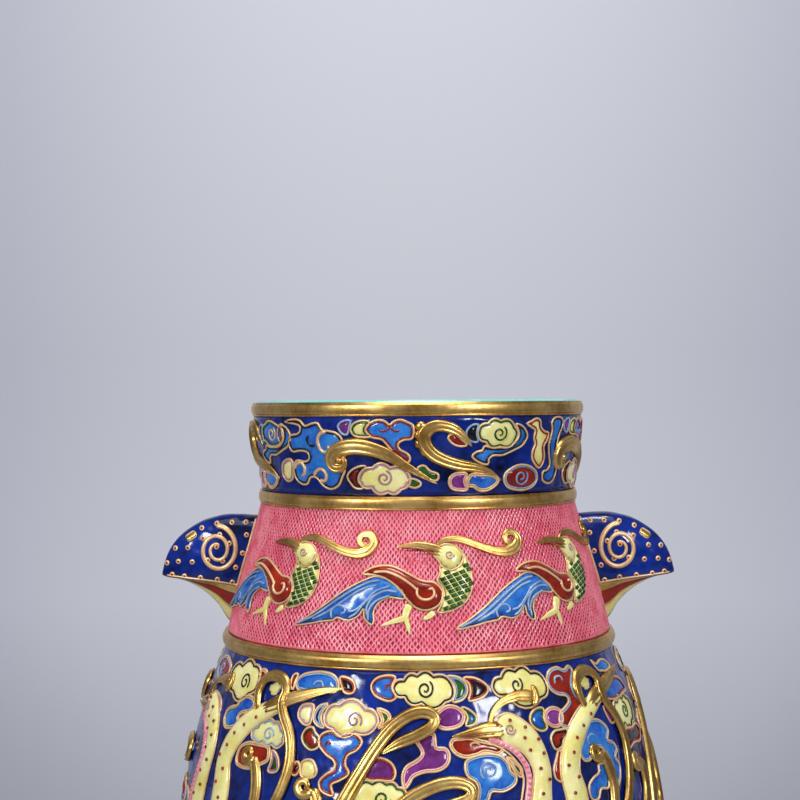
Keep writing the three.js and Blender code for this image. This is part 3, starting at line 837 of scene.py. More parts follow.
PHOENIX_TURNS = (0, -90, 180, 90)
ribbon = Drawing("belly")
scroll(ribbon, [(-9.4, 111.4, 0.4), (-5.6, 108.2, 1.7), (-1.4, 105.9, 2), (2.2, 103.2, 2), (3, 100.4, 2),
    (0.6, 98.9, 2), (-3, 99.9, 2.1), (-7, 103.5, 2.2), (-10.7, 109.8, 2.2), (-14.5, 118.6, 2.3),
    (-18, 128, 2.4), (-21, 140, 2.3), (-25, 152, 2.2), (-30, 161, 2.1), (-31, 170, 2), (-26, 176, 1.9),
    (-20, 173.6, 1.6), (-20, 168, 1.3), (-24, 167, 0.9)], GILT, lift=0.9, rise=1.9)
second = [(-5.6, 131.8, 0.9), (0, 128.6, 1.9), (6, 126.6, 2), (10, 124.6, 1.9), (10.6, 121.8, 1.9),
    (8.2, 120, 2), (4, 120.3, 2.1), (-1, 123, 2.2), (-5, 127.2, 2.3), (-8, 133, 2.3), (-9, 141, 2.2),
    (-13, 149, 2.1), (-13, 158, 2), (-6, 162, 1.8), (1, 158, 1.5), (0, 152.4, 1.3), (-4, 153, 0.9)]
scroll(ribbon, second, GILT, lift=0.8, rise=1.9)
knob(ribbon, -27.2, 122.6, 3)
scroll(ribbon, [(-25.2, 122.6, 1.6), (-23.8, 126.6, 2.1), (-24.2, 133, 2), (-27.6, 141, 1.8),
    (-33, 150, 1.4), (-36, 158, 0.3)], GILT, lift=0.5, rise=1.8)
knob(ribbon, -44.6, 115.6, 2.7)
scroll(ribbon, [(-43, 115.8, 1.5), (-41.2, 120.6, 2), (-40.4, 127, 2), (-41.4, 134, 1.8), (-44, 140, 1.4),
    (-48, 146, 0.3)], GILT, lift=0.5, rise=1.8)
ribbon.place_all("ribbon_work", "gilt_metal", PHOENIX_TURNS, "ribbon")


# ---- Dotted plumes ----
# Long cream plumes spotted with dark red, gold at the tip, with a gold ribbon looped through them.
def banded(art, points, fill, rise, rim=PEACH, rim_width=0.34):
    """A domed band that swells and narrows, with a gold wire along its whole edge."""
    line = smooth_line(art.flat(points), 0.9)
    ahead = np.gradient(line[:, :2], axis=0)
    ahead /= np.hypot(*ahead.T)[:, None]
    across = np.column_stack([-ahead[:, 1], ahead[:, 0]]) * line[:, 2:]
    sweep(art.made, line, fill, section_dome, around=14, rise=rise)
    ring = np.vstack([line[:, :2] + across, (line[:, :2] - across)[::-1]])
    ring = smooth_line([(x, y, rim_width) for x, y in ring[::2]], 0.9, closed=True)
    sweep(art.made, ring, rim, lift=0.35, closed=True)


plume = Drawing("belly")
banded(plume, [(57, 187, 0.5), (52, 183, 2.4), (45, 176, 3.3), (39.6, 165, 3.9), (37, 150, 4.2),
    (36.8, 138, 4.3), (36.9, 128, 4.2), (36.1, 120.4, 3.9), (37.6, 113.8, 3.8), (41, 108, 3.6),
    (45.4, 103.6, 3), (50, 100.7, 2.3), (53.4, 99.2, 1.4)], CREAM, 1.9)
for x, y in ((49, 101.4), (46, 103.8), (42.3, 106.8), (39.3, 110), (37.4, 114.2), (35.2, 117.8),
        (37.6, 121.8), (35.8, 126.4), (37.8, 131), (35.6, 135.6), (38, 140.4), (36, 145), (38.2, 150),
        (37, 155), (39.6, 160), (38.8, 165), (42, 169.6), (43, 175), (47.6, 178.4), (51, 182.6)):
    dot(plume, x, y, 0.62, 0.35, RED, 1.85)
scroll(plume, [(45.6, 102.6, 0.5), (50, 99.6, 2.5), (57, 96.3, 2.2), (64, 93.8, 1.4), (70.6, 92.4, 0.15)],
    GILT, lift=0.4, rise=2.2)
scroll(plume, [(45.4, 101.8, 1), (44, 96.4, 1.7), (45.2, 92.2, 1.8), (48.6, 90.6, 1.9), (52.2, 91.8, 1.8),
    (53.4, 94.6, 1.7), (53, 98, 1.7), (54.4, 102, 1.8), (57, 107, 1.8), (58.3, 113, 1.8), (58.1, 119, 1.8),
    (56.6, 126, 1.8), (54, 133, 1.7), (50, 140, 1.6), (46.6, 148, 1.4), (46, 156, 1.2), (49, 162, 0.9),
    (53, 163, 0.3)], GILT, lift=1, rise=1.7)
loop_middle = [(46.6, 95), (47.6, 93), (49.4, 92.4), (50.9, 93.8), (50.6, 96), (48.6, 97.2)]
cell(plume.made, smooth_line(plume.flat(loop_middle), 0.7, closed=True), CREAM, 0.8)
plume.place_all("plume_work", "cream_enamel", PHOENIX_TURNS, "plume")


# ---- Phoenixes ----
# Four phoenixes stand round the belly, each neck rising in a cream arch spotted with red, with a
# gold beak and crest. Body, wing and tail lie below in the same manner as the birds of the neck.
def inside(point, outline):
    """Whether a point lies within a closed outline."""
    x, y = point
    within = False
    for (x1, y1), (x2, y2) in zip(outline, np.roll(outline, -1, axis=0)):
        if (y1 > y) != (y2 > y) and x < (x2 - x1) * (y - y1) / (y2 - y1) + x1:
            within = not within
    return within


def filled(art, outline, finish_number, rise, reach=2.2, rim=PEACH, rim_width=0.3, rim_lift=0.35):
    edge = smooth_line(art.flat(outline), 0.8, closed=True)
    cell(art.made, edge, finish_number, rise, reach=reach)
    if rim is not None:
        sweep(art.made, np.column_stack([edge, np.full(len(edge), rim_width)]), rim, lift=rim_lift,
            closed=True)


def scaled(art, outline, rise, size, reach=3):
    """A cream breast under slanting rows of green scales."""
    filled(art, outline, CREAM, rise, reach=reach)
    edge = smooth_line(art.flat(outline), 0.8, closed=True)[:, :2]
    middle = edge.mean(axis=0)
    for row in range(-10, 11):
        for column in range(-10, 11):
            spot = middle + size * np.array([2.1 * column + 0.8 * row, 0.72 * column - 1.28 * row])
            away = np.hypot(*(edge - spot).T).min()
            if inside(spot, edge) and away > 0.55:
                height = rise * math.sqrt(1 - (1 - min(away / reach, 1)) ** 2)
                scale = bmesh.new()
                slanted = Matrix((
                    (1.3 * size, 0.58 * size, 0, spot[0]), (-0.25 * size, 0.88 * size, 0, spot[1]),
                    (0, 0, 0.34, height - 0.08), (0, 0, 0, 1)))
                bmesh.ops.create_uvsphere(scale, u_segments=4, v_segments=4, radius=1, matrix=slanted)
                join(art.made, scale, GREEN)


phoenix = Drawing("belly")
filled(phoenix, [(22, 172), (14, 168), (7, 171), (2, 178), (-6, 184), (-15, 187), (-24, 193), (-33, 198),
    (-22, 199), (-14, 196.6), (-9, 199), (-13, 206), (-22, 212), (-12, 212), (-4, 207), (0, 199), (1, 206),
    (-3, 214), (6, 209), (9, 200), (14, 192), (24, 186), (30, 180)], BLUE, 1.1)
for stream in ([(24, 176), (14, 177), (6, 184), (-4, 190), (-16, 193), (-28, 197)], [(26, 180), (15, 184),
        (6, 191), (-2, 197), (-8, 204), (-17, 210)], [(20, 187), (11, 193), (6, 201), (1.6, 209)]):
    wire(phoenix, stream, 0.4, ICE, 1.1)
scaled(phoenix, [(19, 150), (23, 146), (30, 146), (35, 151), (38, 159), (37, 169), (32, 178), (25, 181),
    (20, 177), (24, 170), (25, 161), (21, 155)], 2, 1.5, 4)
banded(phoenix, [(23.5, 156, 3.6), (25.6, 149, 5), (25.8, 140, 4.6), (26.6, 131, 3.9), (27.6, 124, 3.2),
    (28.2, 118, 3.1), (27, 112, 3.7), (24.6, 107.9, 4.4), (20.6, 105.2, 5), (17.6, 104.9, 2.6)], CREAM, 2.1)
filled(phoenix, [(27, 157), (20, 152), (12, 151), (5, 155), (-1, 162), (-8, 165), (-1, 169), (-4, 174),
    (4, 173), (3, 178), (10, 176), (14, 181), (21, 178), (27, 172), (30, 164)], RED, 2.3, reach=3.4,
    rim_width=0.42)
for feather in ([(22, 158), (13, 156), (6, 160), (0, 165)], [(23, 164), (14, 162), (8, 166), (2, 171)],
        [(22, 170), (16, 168), (11, 172)], [(26, 162), (28, 166), (25, 170), (22, 167), (24, 164)]):
    wire(phoenix, feather, 0.36, PEACH, 2.25)
strip = [(15.4, 107.4, 0.6), (18.4, 108.9, 0.95), (21.6, 111.6, 1), (23.9, 115.6, 1), (24.6, 120.4, 1),
    (23.8, 125.6, 1), (22.4, 132, 1), (20.6, 140, 0.9), (18.8, 148, 0.6)]
scroll(phoenix, strip, ROSE, section=section_dome, lift=0.5)
for x, y, _ in smooth_line(phoenix.flat(strip), 1.7)[1:-1]:
    stud(phoenix.made, x, y, 0.62, 0.5, 0.35, PINK, 1.35)
wire(phoenix, [(14.6, 108.6), (17.8, 110), (20.6, 112.8), (22.6, 116.4), (23.2, 120.4), (22.4, 125.4),
    (21, 132), (19.2, 139)], 0.36, PEACH, 0.5)
scroll(phoenix, [(20, 105.2, 2), (16.4, 104.9, 2.6), (12.4, 105.4, 1.7), (6.8, 106.3, 0.15)], GILT,
    lift=0.7, rise=2.1)
wire(phoenix, [(17.4, 105.9), (13, 106.1), (8.6, 106.2)], 0.2, RED, 1.9)
scroll(phoenix, [(16.4, 103.8, 0.6), (17.4, 100, 1), (20.2, 97, 1.2), (24.5, 95.5, 1.7), (27.6, 95.7, 2),
    (29.6, 96.2, 1.6)], GILT, lift=0.6)
scroll(phoenix, [(29.3, 92.4, 0.7), (30, 94.4, 1.1), (29.8, 96.8, 1.2), (28.6, 99, 0.7)], GILT,
    section=section_dome, lift=0.9)
knob(phoenix, 28, 96, 1.2)
eye = [(21 + 1.4 * (1 - t / 22) * math.cos(t * 0.55),
    104.8 + 1.9 * (1 - t / 22) * math.sin(t * 0.55)) for t in range(19)]
wire(phoenix, eye, 0.2, LILAC, 2.1, spacing=0.5)
for x, y in ((18, 103.2), (21.3, 102.2), (25, 104.6), (24.4, 107.8), (28, 108.6), (25.4, 111.6),
        (28.8, 113), (27.4, 117.4), (29.3, 121), (27.2, 125), (28.4, 129.4), (25.6, 133), (28.2, 137),
        (24.6, 140), (27.4, 144.6)):
    dot(phoenix, x, y, 0.6, 0.35, RED, 2.0)
phoenix.place_all("phoenix_work", "cream_enamel", PHOENIX_TURNS, "phoenix")


# ---- Neck ----
# The sloping shell between the belly and the collar, pink and pitted like the hem band.
piece("neck_wall", pitted("neck_shell"), nodes=["neck_shell"])


# ---- Neck birds ----
# Low-relief birds in flight, three to each half of the neck: a cream head with a coiled eye, a
# gold beak and trailing crest, a green scaled breast, a red coiled wing and a blue tail of curls.
bird = Drawing("neck")
for leg in ([(-3, 65.8, 1.3), (-4, 68.4, 1.2), (-4.6, 70.4, 1), (-7.4, 71.4, 0.8), (-11.4, 73, 0.15)],
        [(-4.4, 69.6, 0.9), (-3.6, 72.6, 0.7), (-2.9, 75.8, 0.15)], [(4, 68.2, 0.9), (2.4, 69.8, 0.9),
        (0.4, 70.9, 0.3)]):
    scroll(bird, leg, CREAM, section=section_ribbed)
filled(bird, [(-17, 58.8), (-13.5, 57.4), (-10, 58.2), (-7.5, 59.8), (-4.8, 62.4), (-4.9, 64.4), (-9, 63.9),
    (-12, 65.7), (-13.3, 68.5), (-13.1, 71.4), (-13.8, 72.6), (-15.8, 70.5), (-16.2, 67.4), (-17.6, 69.8),
    (-20.6, 71.4), (-24, 70.7), (-25.3, 71.6), (-29, 72.2), (-33, 73.2), (-37.8, 74), (-34, 71.2),
    (-29, 67.4), (-23.5, 62.8), (-20, 60.4)], BLUE, 1.2, reach=5)
for stream in ([(-37, 73.5), (-31, 70.3), (-25, 65.6), (-20, 61.9), (-15, 59.2), (-11.5, 58.6)],
        [(-8.6, 60.2), (-13, 62), (-15.6, 65), (-18.4, 67.9), (-21, 68.7)], [(-6.4, 62.2), (-10, 61.8),
        (-13.4, 63.6), (-15.2, 67), (-15, 70)], [(-25.4, 71.2), (-25.8, 68.6), (-24, 66.8), (-22, 67.2),
        (-21.6, 68.8), (-23.2, 69.4)], [(-32, 71.8), (-27, 69), (-22, 65), (-17, 61.4), (-12.4, 60)],
        [(-20.6, 70.6), (-18.4, 69.2), (-16.6, 66.6), (-14, 63.8), (-10, 61.6)], [(-14.6, 71.6),
        (-14.6, 68), (-12.6, 65), (-8.6, 63.2)]):
    wire(bird, stream, 0.36, ICE, 1.0)
scaled(bird, [(5, 58.6), (6, 56), (6, 54), (8.6, 55.4), (11, 54.8), (12.9, 53), (13.6, 50.8), (14.8, 53.4),
    (15.4, 57), (15.2, 61), (13.6, 64.6), (11, 67), (8, 68.4), (4.8, 68.6), (5.8, 66.4), (6.8, 63.6),
    (6.4, 60.8)], 1.3, 1)
filled(bird, [(-17.3, 56.6), (-14, 54.5), (-9.5, 54), (-5.5, 55.4), (-1, 58), (1, 58.9), (4, 59.3),
    (6, 61.4), (6.2, 64.4), (4.6, 66.7), (1.6, 67.9), (-1.4, 67), (-4, 64.2), (-6.5, 61), (-9.5, 58.4),
    (-13, 57)], RED, 1.7, reach=2.8, rim_width=0.36)
wire(bird, [(-14, 56), (-10, 55.8), (-6, 57.4), (-2.4, 60), (-1, 61.6)], 0.42, PEACH, 1.6)
wire(bird, [(-0.8, 60.4), (-1, 62.8), (0.6, 64.4), (2.8, 64.2), (3.9, 62.6), (3.4, 61), (2, 61.4)], 0.42,
    PEACH, 1.68)
filled(bird, [(4.2, 50.4), (5.4, 48.3), (7.6, 47.2), (10.4, 47.6), (12.6, 49.2), (13.5, 51), (12.6, 53),
    (11, 54.8), (8.6, 55.3), (6.5, 54), (5.4, 52.2)], CREAM, 1.7, reach=3)
eye = [(8.9 + 1.45 * (1 - t / 20) * math.cos(t * 0.55),
    50.4 + 1.5 * (1 - t / 20) * math.sin(t * 0.55)) for t in range(18)]
wire(bird, eye, 0.2, LILAC, 1.72, spacing=0.4)
scroll(bird, [(7.6, 50, 1.9), (4.6, 48.9, 1.9), (1, 47.8, 1.5), (-3, 47.5, 0.9), (-7.8, 48.2, 0.12)], GILT,
    lift=0.2)
scroll(bird, [(5, 47.6, 0.5), (8, 45.9, 0.9), (12, 45.7, 1.2), (16, 46.9, 1.3), (20, 48.5, 1.4),
    (24, 49.8, 1.6), (28, 50.2, 1.9), (31.4, 49, 2), (33, 46.4, 1.6), (31.6, 44.2, 1.3), (28.8, 44.4, 1.1),
    (28.2, 46.6, 1), (29.8, 47.6, 0.8), (30.6, 46.4, 0.5)], GILT, lift=0.2)
wire(bird, [(4.6, 49.4), (0, 48.6), (-5, 48.3)], 0.2, RED, 1.55)
bird.place_all("bird", "cream_enamel", (0, 47.5, -47.5, 180, 227.5, 132.5), "neck_bird")


# ---- Collar shell and its lip ----
# The straight collar stands highest. Its edge is rounded over and covered by the turquoise glaze
# that runs up from the inside, so a thin pale line shows above the gilt rim.
rim_ring_low, rim_ring_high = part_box("rim_ring")
lip_reach = rim_ring_high.x / MM - 1.6
lip = [(lip_reach, rim_ring_low.z / MM)]
lip += arc((lip_reach - 1.4, TOP - 1.4), 1.4, 0, 160, 8)
collar = shell("collar_shell", COBALT, 2.2, lip=lip)
piece("collar_wall", collar, nodes=["collar_shell"])


# ---- Collar clouds ----
# Clouds in every colour crowd the cobalt ground of the collar. The front is drawn once and the
# same drawing goes round the back.
crowd = Drawing("collar")
cloud(crowd, [(-49.5, 7.2), (-45, 6.4), (-42, 6.9), (-40, 8.6), (-37, 7.8), (-34.5, 7.7), (-33, 9.9),
    (-31, 10.2), (-27.5, 11), (-25.5, 13.5), (-25, 22), (-26.3, 25.5), (-28, 28.4), (-31, 29.6),
    (-34, 28.5), (-35.7, 26.6), (-37.5, 25.6), (-39.5, 26), (-41, 28), (-43.5, 28.2), (-46.3, 26.3),
    (-46.8, 22.5), (-45, 20.3), (-41, 20.6), (-39, 19.5), (-39.6, 17.4), (-43, 16.9), (-46.8, 17.2),
    (-48.3, 14.8), (-47.4, 12), (-44, 11.4), (-42.3, 10.4), (-42.2, 8.6), (-45, 7.8)], BLUE, BLACK)
for hook in ([(-31, 10.5), (-33.2, 10.9), (-34.6, 12.4), (-34.7, 14.6), (-33.6, 16.7), (-31.7, 17.4),
        (-30.3, 16.2), (-31.2, 15)], [(-37.6, 25.6), (-36.4, 23.8), (-34.3, 23), (-32.6, 24.1),
        (-32.5, 26.3), (-34.2, 27.1), (-34.9, 26)], [(-46.6, 23.4), (-44.9, 21.4), (-42.6, 21.1),
        (-41.4, 22.8), (-42, 25), (-43.5, 25.2)]):
    wire(crowd, hook, 0.62, PEACH, 0.45)
wire(crowd, [(-38.2, 11.6), (-39.2, 12.8), (-38.6, 14.8), (-36.7, 15.3), (-36.4, 14.2)], 0.5, BLACK, 0.45)
cloud(crowd, [(-53, 21.4), (-49, 19.8), (-47.2, 21.2), (-47.6, 24), (-48.2, 26.5), (-51, 27.5),
    (-53.6, 25.5)], CREAM, LILAC)
for shift in (0, 84):
    def moved(points):
        return [(x + shift, y) for x, y in points]
    cloud(crowd, moved([(-26.8, 8.6), (-25, 7), (-22.4, 6.8), (-22.8, 9), (-23.6, 11.3), (-25.6, 11)]),
        PURPLE, None, rim=ICE)
    cloud(crowd, moved([(-22.3, 9.5), (-21, 7.6), (-18, 6.8), (-15.8, 7.5), (-17.4, 10), (-15.4, 12),
        (-19, 12.2), (-21.5, 11.5)]), CREAM, GREEN)
    cloud(crowd, moved([(-17.3, 9.8), (-16, 7.8), (-13.5, 6.7), (-11, 7), (-9.4, 8.3), (-8, 7.1),
        (-5.8, 6.6), (-3.5, 7.5), (-1.8, 8.8), (-2.2, 12.6), (-5, 13.2), (-6.8, 14.5), (-6.3, 16.3),
        (-4, 17.6), (-3, 19), (-3.6, 20.6), (-6, 19), (-8.8, 16.6), (-10.6, 14.4), (-12.2, 12.9),
        (-15.5, 12.2)]), BLUE, RED, [moved([(-10, 8.2), (-9.8, 9.6), (-11.4, 10.4), (-13, 9.8)]),
        moved([(-8.7, 8.2), (-8.8, 9.5), (-7.4, 10.4), (-6, 10.1)])], RED)
    cloud(crowd, moved([(-24.4, 25.3), (-22.8, 23.2), (-19.8, 21.9), (-17.6, 22), (-20, 24.5), (-20.4, 27),
        (-18.8, 29), (-21.5, 29.2), (-23.4, 27.4)]), RED, BLACK)
    cloud(crowd, moved([(-20.4, 26.5), (-18.5, 23.8), (-15.5, 22.3), (-12.5, 21.6), (-9.5, 22.2),
        (-6, 23.2), (-3, 25.4), (-3.6, 27.7), (-6, 29.5), (-8.8, 29.2), (-10.5, 30.4), (-13.5, 30.3),
        (-16, 29), (-18.8, 28.4)]), CREAM, LILAC, [moved(crowd.coil(-11.6, 25.8, 2.7, 1.7, -80))], LILAC)
cloud(crowd, [(-4.6, 27.6), (-3, 26), (-0.8, 26.4), (0.6, 27.8), (-1.6, 29)], GREEN)
cloud(crowd, [(-0.6, 22.8), (1.4, 21.6), (3.4, 23.4), (6.2, 24.6), (5.6, 26.6), (2.4, 25.8)], GREEN)
cloud(crowd, [(11, 11.4), (13.4, 13), (15.6, 15), (13, 15.4), (10.6, 14.4), (9.2, 12.4)], RED)
for shift, fill in ((0, CREAM), (-85, BLUE)):
    def across(points):
        return [(x + shift, y) for x, y in points]
    cloud(crowd, across([(15.3, 10.5), (16.8, 8.7), (19.2, 8.4), (18.7, 11), (19.2, 13.9), (17, 13.9),
        (15.4, 12.4)]), BLACK, None, rim=ICE)
    cloud(crowd, across([(33, 8.3), (35.5, 9), (37.3, 10.8), (37.8, 12.8), (36, 15.4), (33, 16.8),
        (30.5, 17.8), (28, 18.6), (24.8, 18.6), (23.2, 19.8), (23.2, 21.4), (21.3, 21.4), (18.5, 20),
        (17.4, 18.6), (19, 17.3), (20.8, 16.9), (21.6, 15.4), (24, 16), (30, 15.8), (33, 14.3), (34.4, 12),
        (33.6, 9.6)]), BLUE, BLACK)
    cloud(crowd, across([(19, 11), (19.8, 8.9), (22.5, 8), (24, 7.1), (27, 7.2), (30, 8.2), (32.6, 9.3),
        (33.9, 11.3), (33.2, 13.6), (30.5, 15.2), (27, 15.7), (24, 15.4), (22, 14.1), (19.8, 13.6)]), fill,
        GREEN, [across(crowd.coil(26.8, 11.4, 2.8, 1.6, -60))], GREEN if fill == CREAM else PEACH)
    cloud(crowd, across([(9.7, 27), (10.6, 25), (13, 24.1), (15.8, 24.5), (15.3, 27), (16.2, 29.7),
        (13, 30), (10.6, 29.2)]), PURPLE, ROSE)
    cloud(crowd, across([(15.8, 26.6), (17.6, 24.5), (20.5, 24.6), (23, 24.7), (25.8, 25.4), (27.4, 27),
        (25.8, 29), (22.8, 30.3), (20, 30.1), (18.2, 28.9), (16.4, 28.6)]), BLUE, PEACH)
cloud(crowd, [(29.5, 27), (30, 24.5), (33, 22.7), (36, 22), (40, 22.6), (43.2, 24.5), (44, 27.3),
    (42, 29.5), (38, 30.5), (34, 30.2), (31, 29.2)], RED, ICE, [crowd.coil(36.4, 26.2, 3, 1.6, -40)], ICE)
cloud(crowd, [(37.6, 8.2), (39.5, 7.5), (41.5, 6.6), (43.5, 7.2), (44, 9.5), (46, 11), (48, 11.5),
    (47.5, 14), (46, 16), (46.7, 19), (46.4, 21.5), (44.6, 23.3), (42.3, 21.8), (40.8, 19.6), (41, 17),
    (41.8, 15.2), (41, 13), (41.4, 10.5), (39.6, 9.5)], CREAM, RED, lobed=False)
cloud(crowd, [(49.6, 8.2), (51, 6.6), (53.5, 6.2), (56, 6.8), (56.4, 9), (55.2, 11), (54, 13.6), (53.2, 17),
    (53.4, 20), (54.6, 23), (54, 26.6), (51.6, 28.6), (48.6, 28.4), (46.8, 27), (47, 24.6), (49.2, 24.2),
    (50.4, 22), (49.4, 19), (48.8, 15.5), (49.8, 12), (50.2, 10)], BLUE, BLACK)
cloud(crowd, [(-54.4, 12), (-53.4, 9), (-51.4, 8), (-51.8, 11), (-51, 14), (-53, 14.4)], CREAM, RED)
for turn, place_name in ((0, "front"), (180, "back")):
    crowd.place(f"collar_clouds_{place_name}", "cobalt_enamel", turn)


# ---- Collar scrolls ----
# Thick gold curls, cast or chased, grooved along their length, soldered over the clouds. The first
# kind is a comma with a coiled head and a long tail, the second an open hook with a notched back.
comma = Drawing("collar")
scroll(comma, [(6.2, 27.9, 0.2), (1.5, 25.3, 0.9), (-4, 22, 1.6), (-9, 18.7, 2.2), (-14, 16.6, 2.6),
    (-19.5, 15.4, 2.9), (-24, 15.6, 3), (-28, 17, 2.8), (-30, 19.8, 2.4), (-28.8, 22.4, 2),
    (-25.8, 22, 1.6), (-25.4, 19.6, 1.2), (-27.2, 19, 0.7)], GILT, lift=0.3)
dot(comma, -26.8, 20, 1.5, 1.9, GILT, 0.6)
comma.place_all("collar_curl_a", "gilt_metal", (0, 84, 180, 264), "collar_scroll_a")
crook = Drawing("collar")
scroll(crook, [(17.4, 15.8, 0.2), (14.6, 12.6, 1.3), (11.2, 9.9, 1.9), (7.2, 8.7, 2.1), (3.8, 9.2, 2.3),
    (1.6, 11.6, 2.6), (1.8, 14.8, 2.6), (4.4, 18, 2.4), (8.4, 20.2, 2.2), (13.6, 21.7, 2), (19, 22.6, 1.6),
    (24.2, 24.3, 1), (28.8, 27.2, 0.2)], GILT, lift=0.2)
for x, y, size in ((0.6, 8.9, 2), (-0.3, 11.6, 1.6), (0, 14.5, 1.8), (1.8, 17.2, 1.7)):
    dot(crook, x, y, size, 1.3, GILT, 0.2)
crook.place_all("collar_curl_b", "gilt_metal", (0, -85, 180, 95), "collar_scroll_b")


# ---- Bead rings and gilt rim ----
# Half-round gilt rings, bent and soldered over the four laps, and a wider one round the mouth.
# Each has a small flat step above and below its round.
def bead(node, name, fullness, above, below):
    low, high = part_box(node)
    bottom, top, reach = low.z / MM - below, high.z / MM - above, high.x / MM
    foot_of_round = max(float(wall_radius(bottom - 0.5)), float(wall_radius(top + 0.5))) + 0.25
    bore = min(float(wall_radius(bottom - 0.5)), float(wall_radius(top + 0.5))) - SEAT + 0.2
    tall = top - bottom
    step = 0.16 * tall
    outline = [(bore, bottom), (foot_of_round, bottom), (foot_of_round, bottom + step)]
    for turn in range(13):
        angle = math.pi * (turn / 12 - 0.5)
        bulge = max(0, math.cos(angle)) ** fullness
        outline.append((foot_of_round + (reach - foot_of_round) * bulge,
                        (bottom + top) / 2 + (tall / 2 - step) * math.sin(angle)))
    outline += [(foot_of_round, top - step), (foot_of_round, top), (bore, top)]
    made = turned(outline)
    paint_all(made, GILT)
    piece(name, made, nodes=[node])


for node, name, fullness, above, below in (
        ("hem_ring", "hem_bead", 0.7, 0, 0), ("waist_ring", "waist_bead", 0.7, 0, 0),
        ("shoulder_ring", "shoulder_bead", 0.7, 0.5, 0.6), ("collar_ring", "collar_bead", 0.7, 0.1, 0.8),
        ("rim_ring", "mouth_bead", 0.6, 0, 0.2)):
    bead(node, name, fullness, above, below)


# ---- Handles ----
# Two cast wings, flat-faced and leaf-thin at the tip, with a keel under each. The faces are cobalt
# with a raised gold spiral and small ringed dots, and the keel is striped gold, red and cream.
HANDLE_ROWS = [
    (50, 268.6, 240, 226, 8), (58, 268.7, 242, 226, 8), (64, 269.1, 243.3, 226.5, 8),
    (69, 269.1, 244.2, 230.8, 7.8), (73, 268.4, 244.9, 236.8, 7.4), (78, 266.9, 245.4, 241.3, 6.6),
    (83, 264, 245.9, 244.2, 5.2), (87, 260.7, 246.2, 245.6, 3.8), (90.2, 256.4, 246.5, 246.1, 2.5),
    (92, 252, 246.9, 246.6, 1.4), (92.9, 248.4, 247.2, 247, 0.5),
]
FACE_MIDDLE = 0.42
FACE_ROUNDNESS = 2.3
ROUND_POINTS = 18
KEEL_POINTS = 14
STRIPES = ((0.14, GILT), (0.47, RED), (0.55, GILT), (0.93, CREAM), (1, GREEN))
handle_line = smooth_line([(row[0], 0, *row[1:]) for row in HANDLE_ROWS], 0.9)


def handle_row(out):
    """Top, foot of the face, keel and half width of the wing at a distance from the axis."""
    return [np.interp(out, handle_line[:, 0], handle_line[:, column]) for column in (2, 3, 4, 5)]


def face_depth(out, level):
    """How far the wing's face stands off its middle plane."""
    top, face, _, width = handle_row(out)
    middle = face + FACE_MIDDLE * (top - face)
    if level > middle:
        rounding = ((level - middle) / (top - middle)) ** FACE_ROUNDNESS
        return width * max(0, 1 - rounding) ** (1 / FACE_ROUNDNESS)
    return width * (1 - 0.1 * ((middle - level) / (middle - face)) ** 2)


def wing():
    made = bmesh.new()
    rings = []
    for out in handle_line[:, 0]:
        top, face, keel, width = handle_row(out)
        middle = face + FACE_MIDDLE * (top - face)
        side = []
        for step in range(ROUND_POINTS + 1):
            angle = math.pi / 2 * step / ROUND_POINTS
            level = middle + (top - middle) * math.cos(angle) if step < ROUND_POINTS else middle
            side.append((face_depth(out, level), level))
        for step in range(1, 4):
            level = middle + (face - middle) * step / 3
            side.append((face_depth(out, level), level))
        edge = side[-1][0]
        for step in range(1, KEEL_POINTS + 1):
            share = step / KEEL_POINTS
            side.append((edge * 0.86 * (1 - share) ** 0.7 + 0.05, face + (keel - face) * share ** 0.9))
        loop = side + [(-across, level) for across, level in reversed(side[1:-1])]
        rings.append([made.verts.new((out, across, level)) for across, level in loop])
    count = len(rings[0])
    edges = []
    for ring in rings:
        edges.append([made.edges.new((ring[i], ring[(i + 1) % count])) for i in range(count)])
    for first, second in zip(edges, edges[1:]):
        bmesh.ops.bridge_loops(made, edges=first + second)
    bmesh.ops.holes_fill(made, edges=[edge for edge in made.edges if edge.is_boundary], sides=0)
    bmesh.ops.recalc_face_normals(made, faces=made.faces)
    for face in made.faces:
        centre = face.calc_center_median()
        _, edge, keel, _ = handle_row(centre.x)
        face.material_index = COBALT
        if centre.z < edge - 0.02 and edge - keel > 0.05:
            share = ((edge - centre.z) / (edge - keel)) ** (1 / 0.9)
            face.material_index = next((paint for end, paint in STRIPES if share < end), GREEN)
    return made


SPIRAL_MIDDLE = (72.2, TOP - 53.4)
HANDLE_DOTS = [
    (62, 43.6), (67, 43.6), (72.5, 44), (78, 45.6), (61.6, 48), (71.3, 47.9), (77.4, 49.2), (67.8, 51),
    (83, 52.7), (87.8, 53), (72.4, 52.2), (63, 54.5), (70.2, 57.3), (75.6, 57), (81.4, 57.8),
    (86.6, 57.7), (91, 58.4), (65.5, 59.6), (84.4, 63), (89, 62.5), (66.8, 65), (72.2, 64), (78.4, 63.4),
]
HANDLE_OVAL = (82, 48.6)


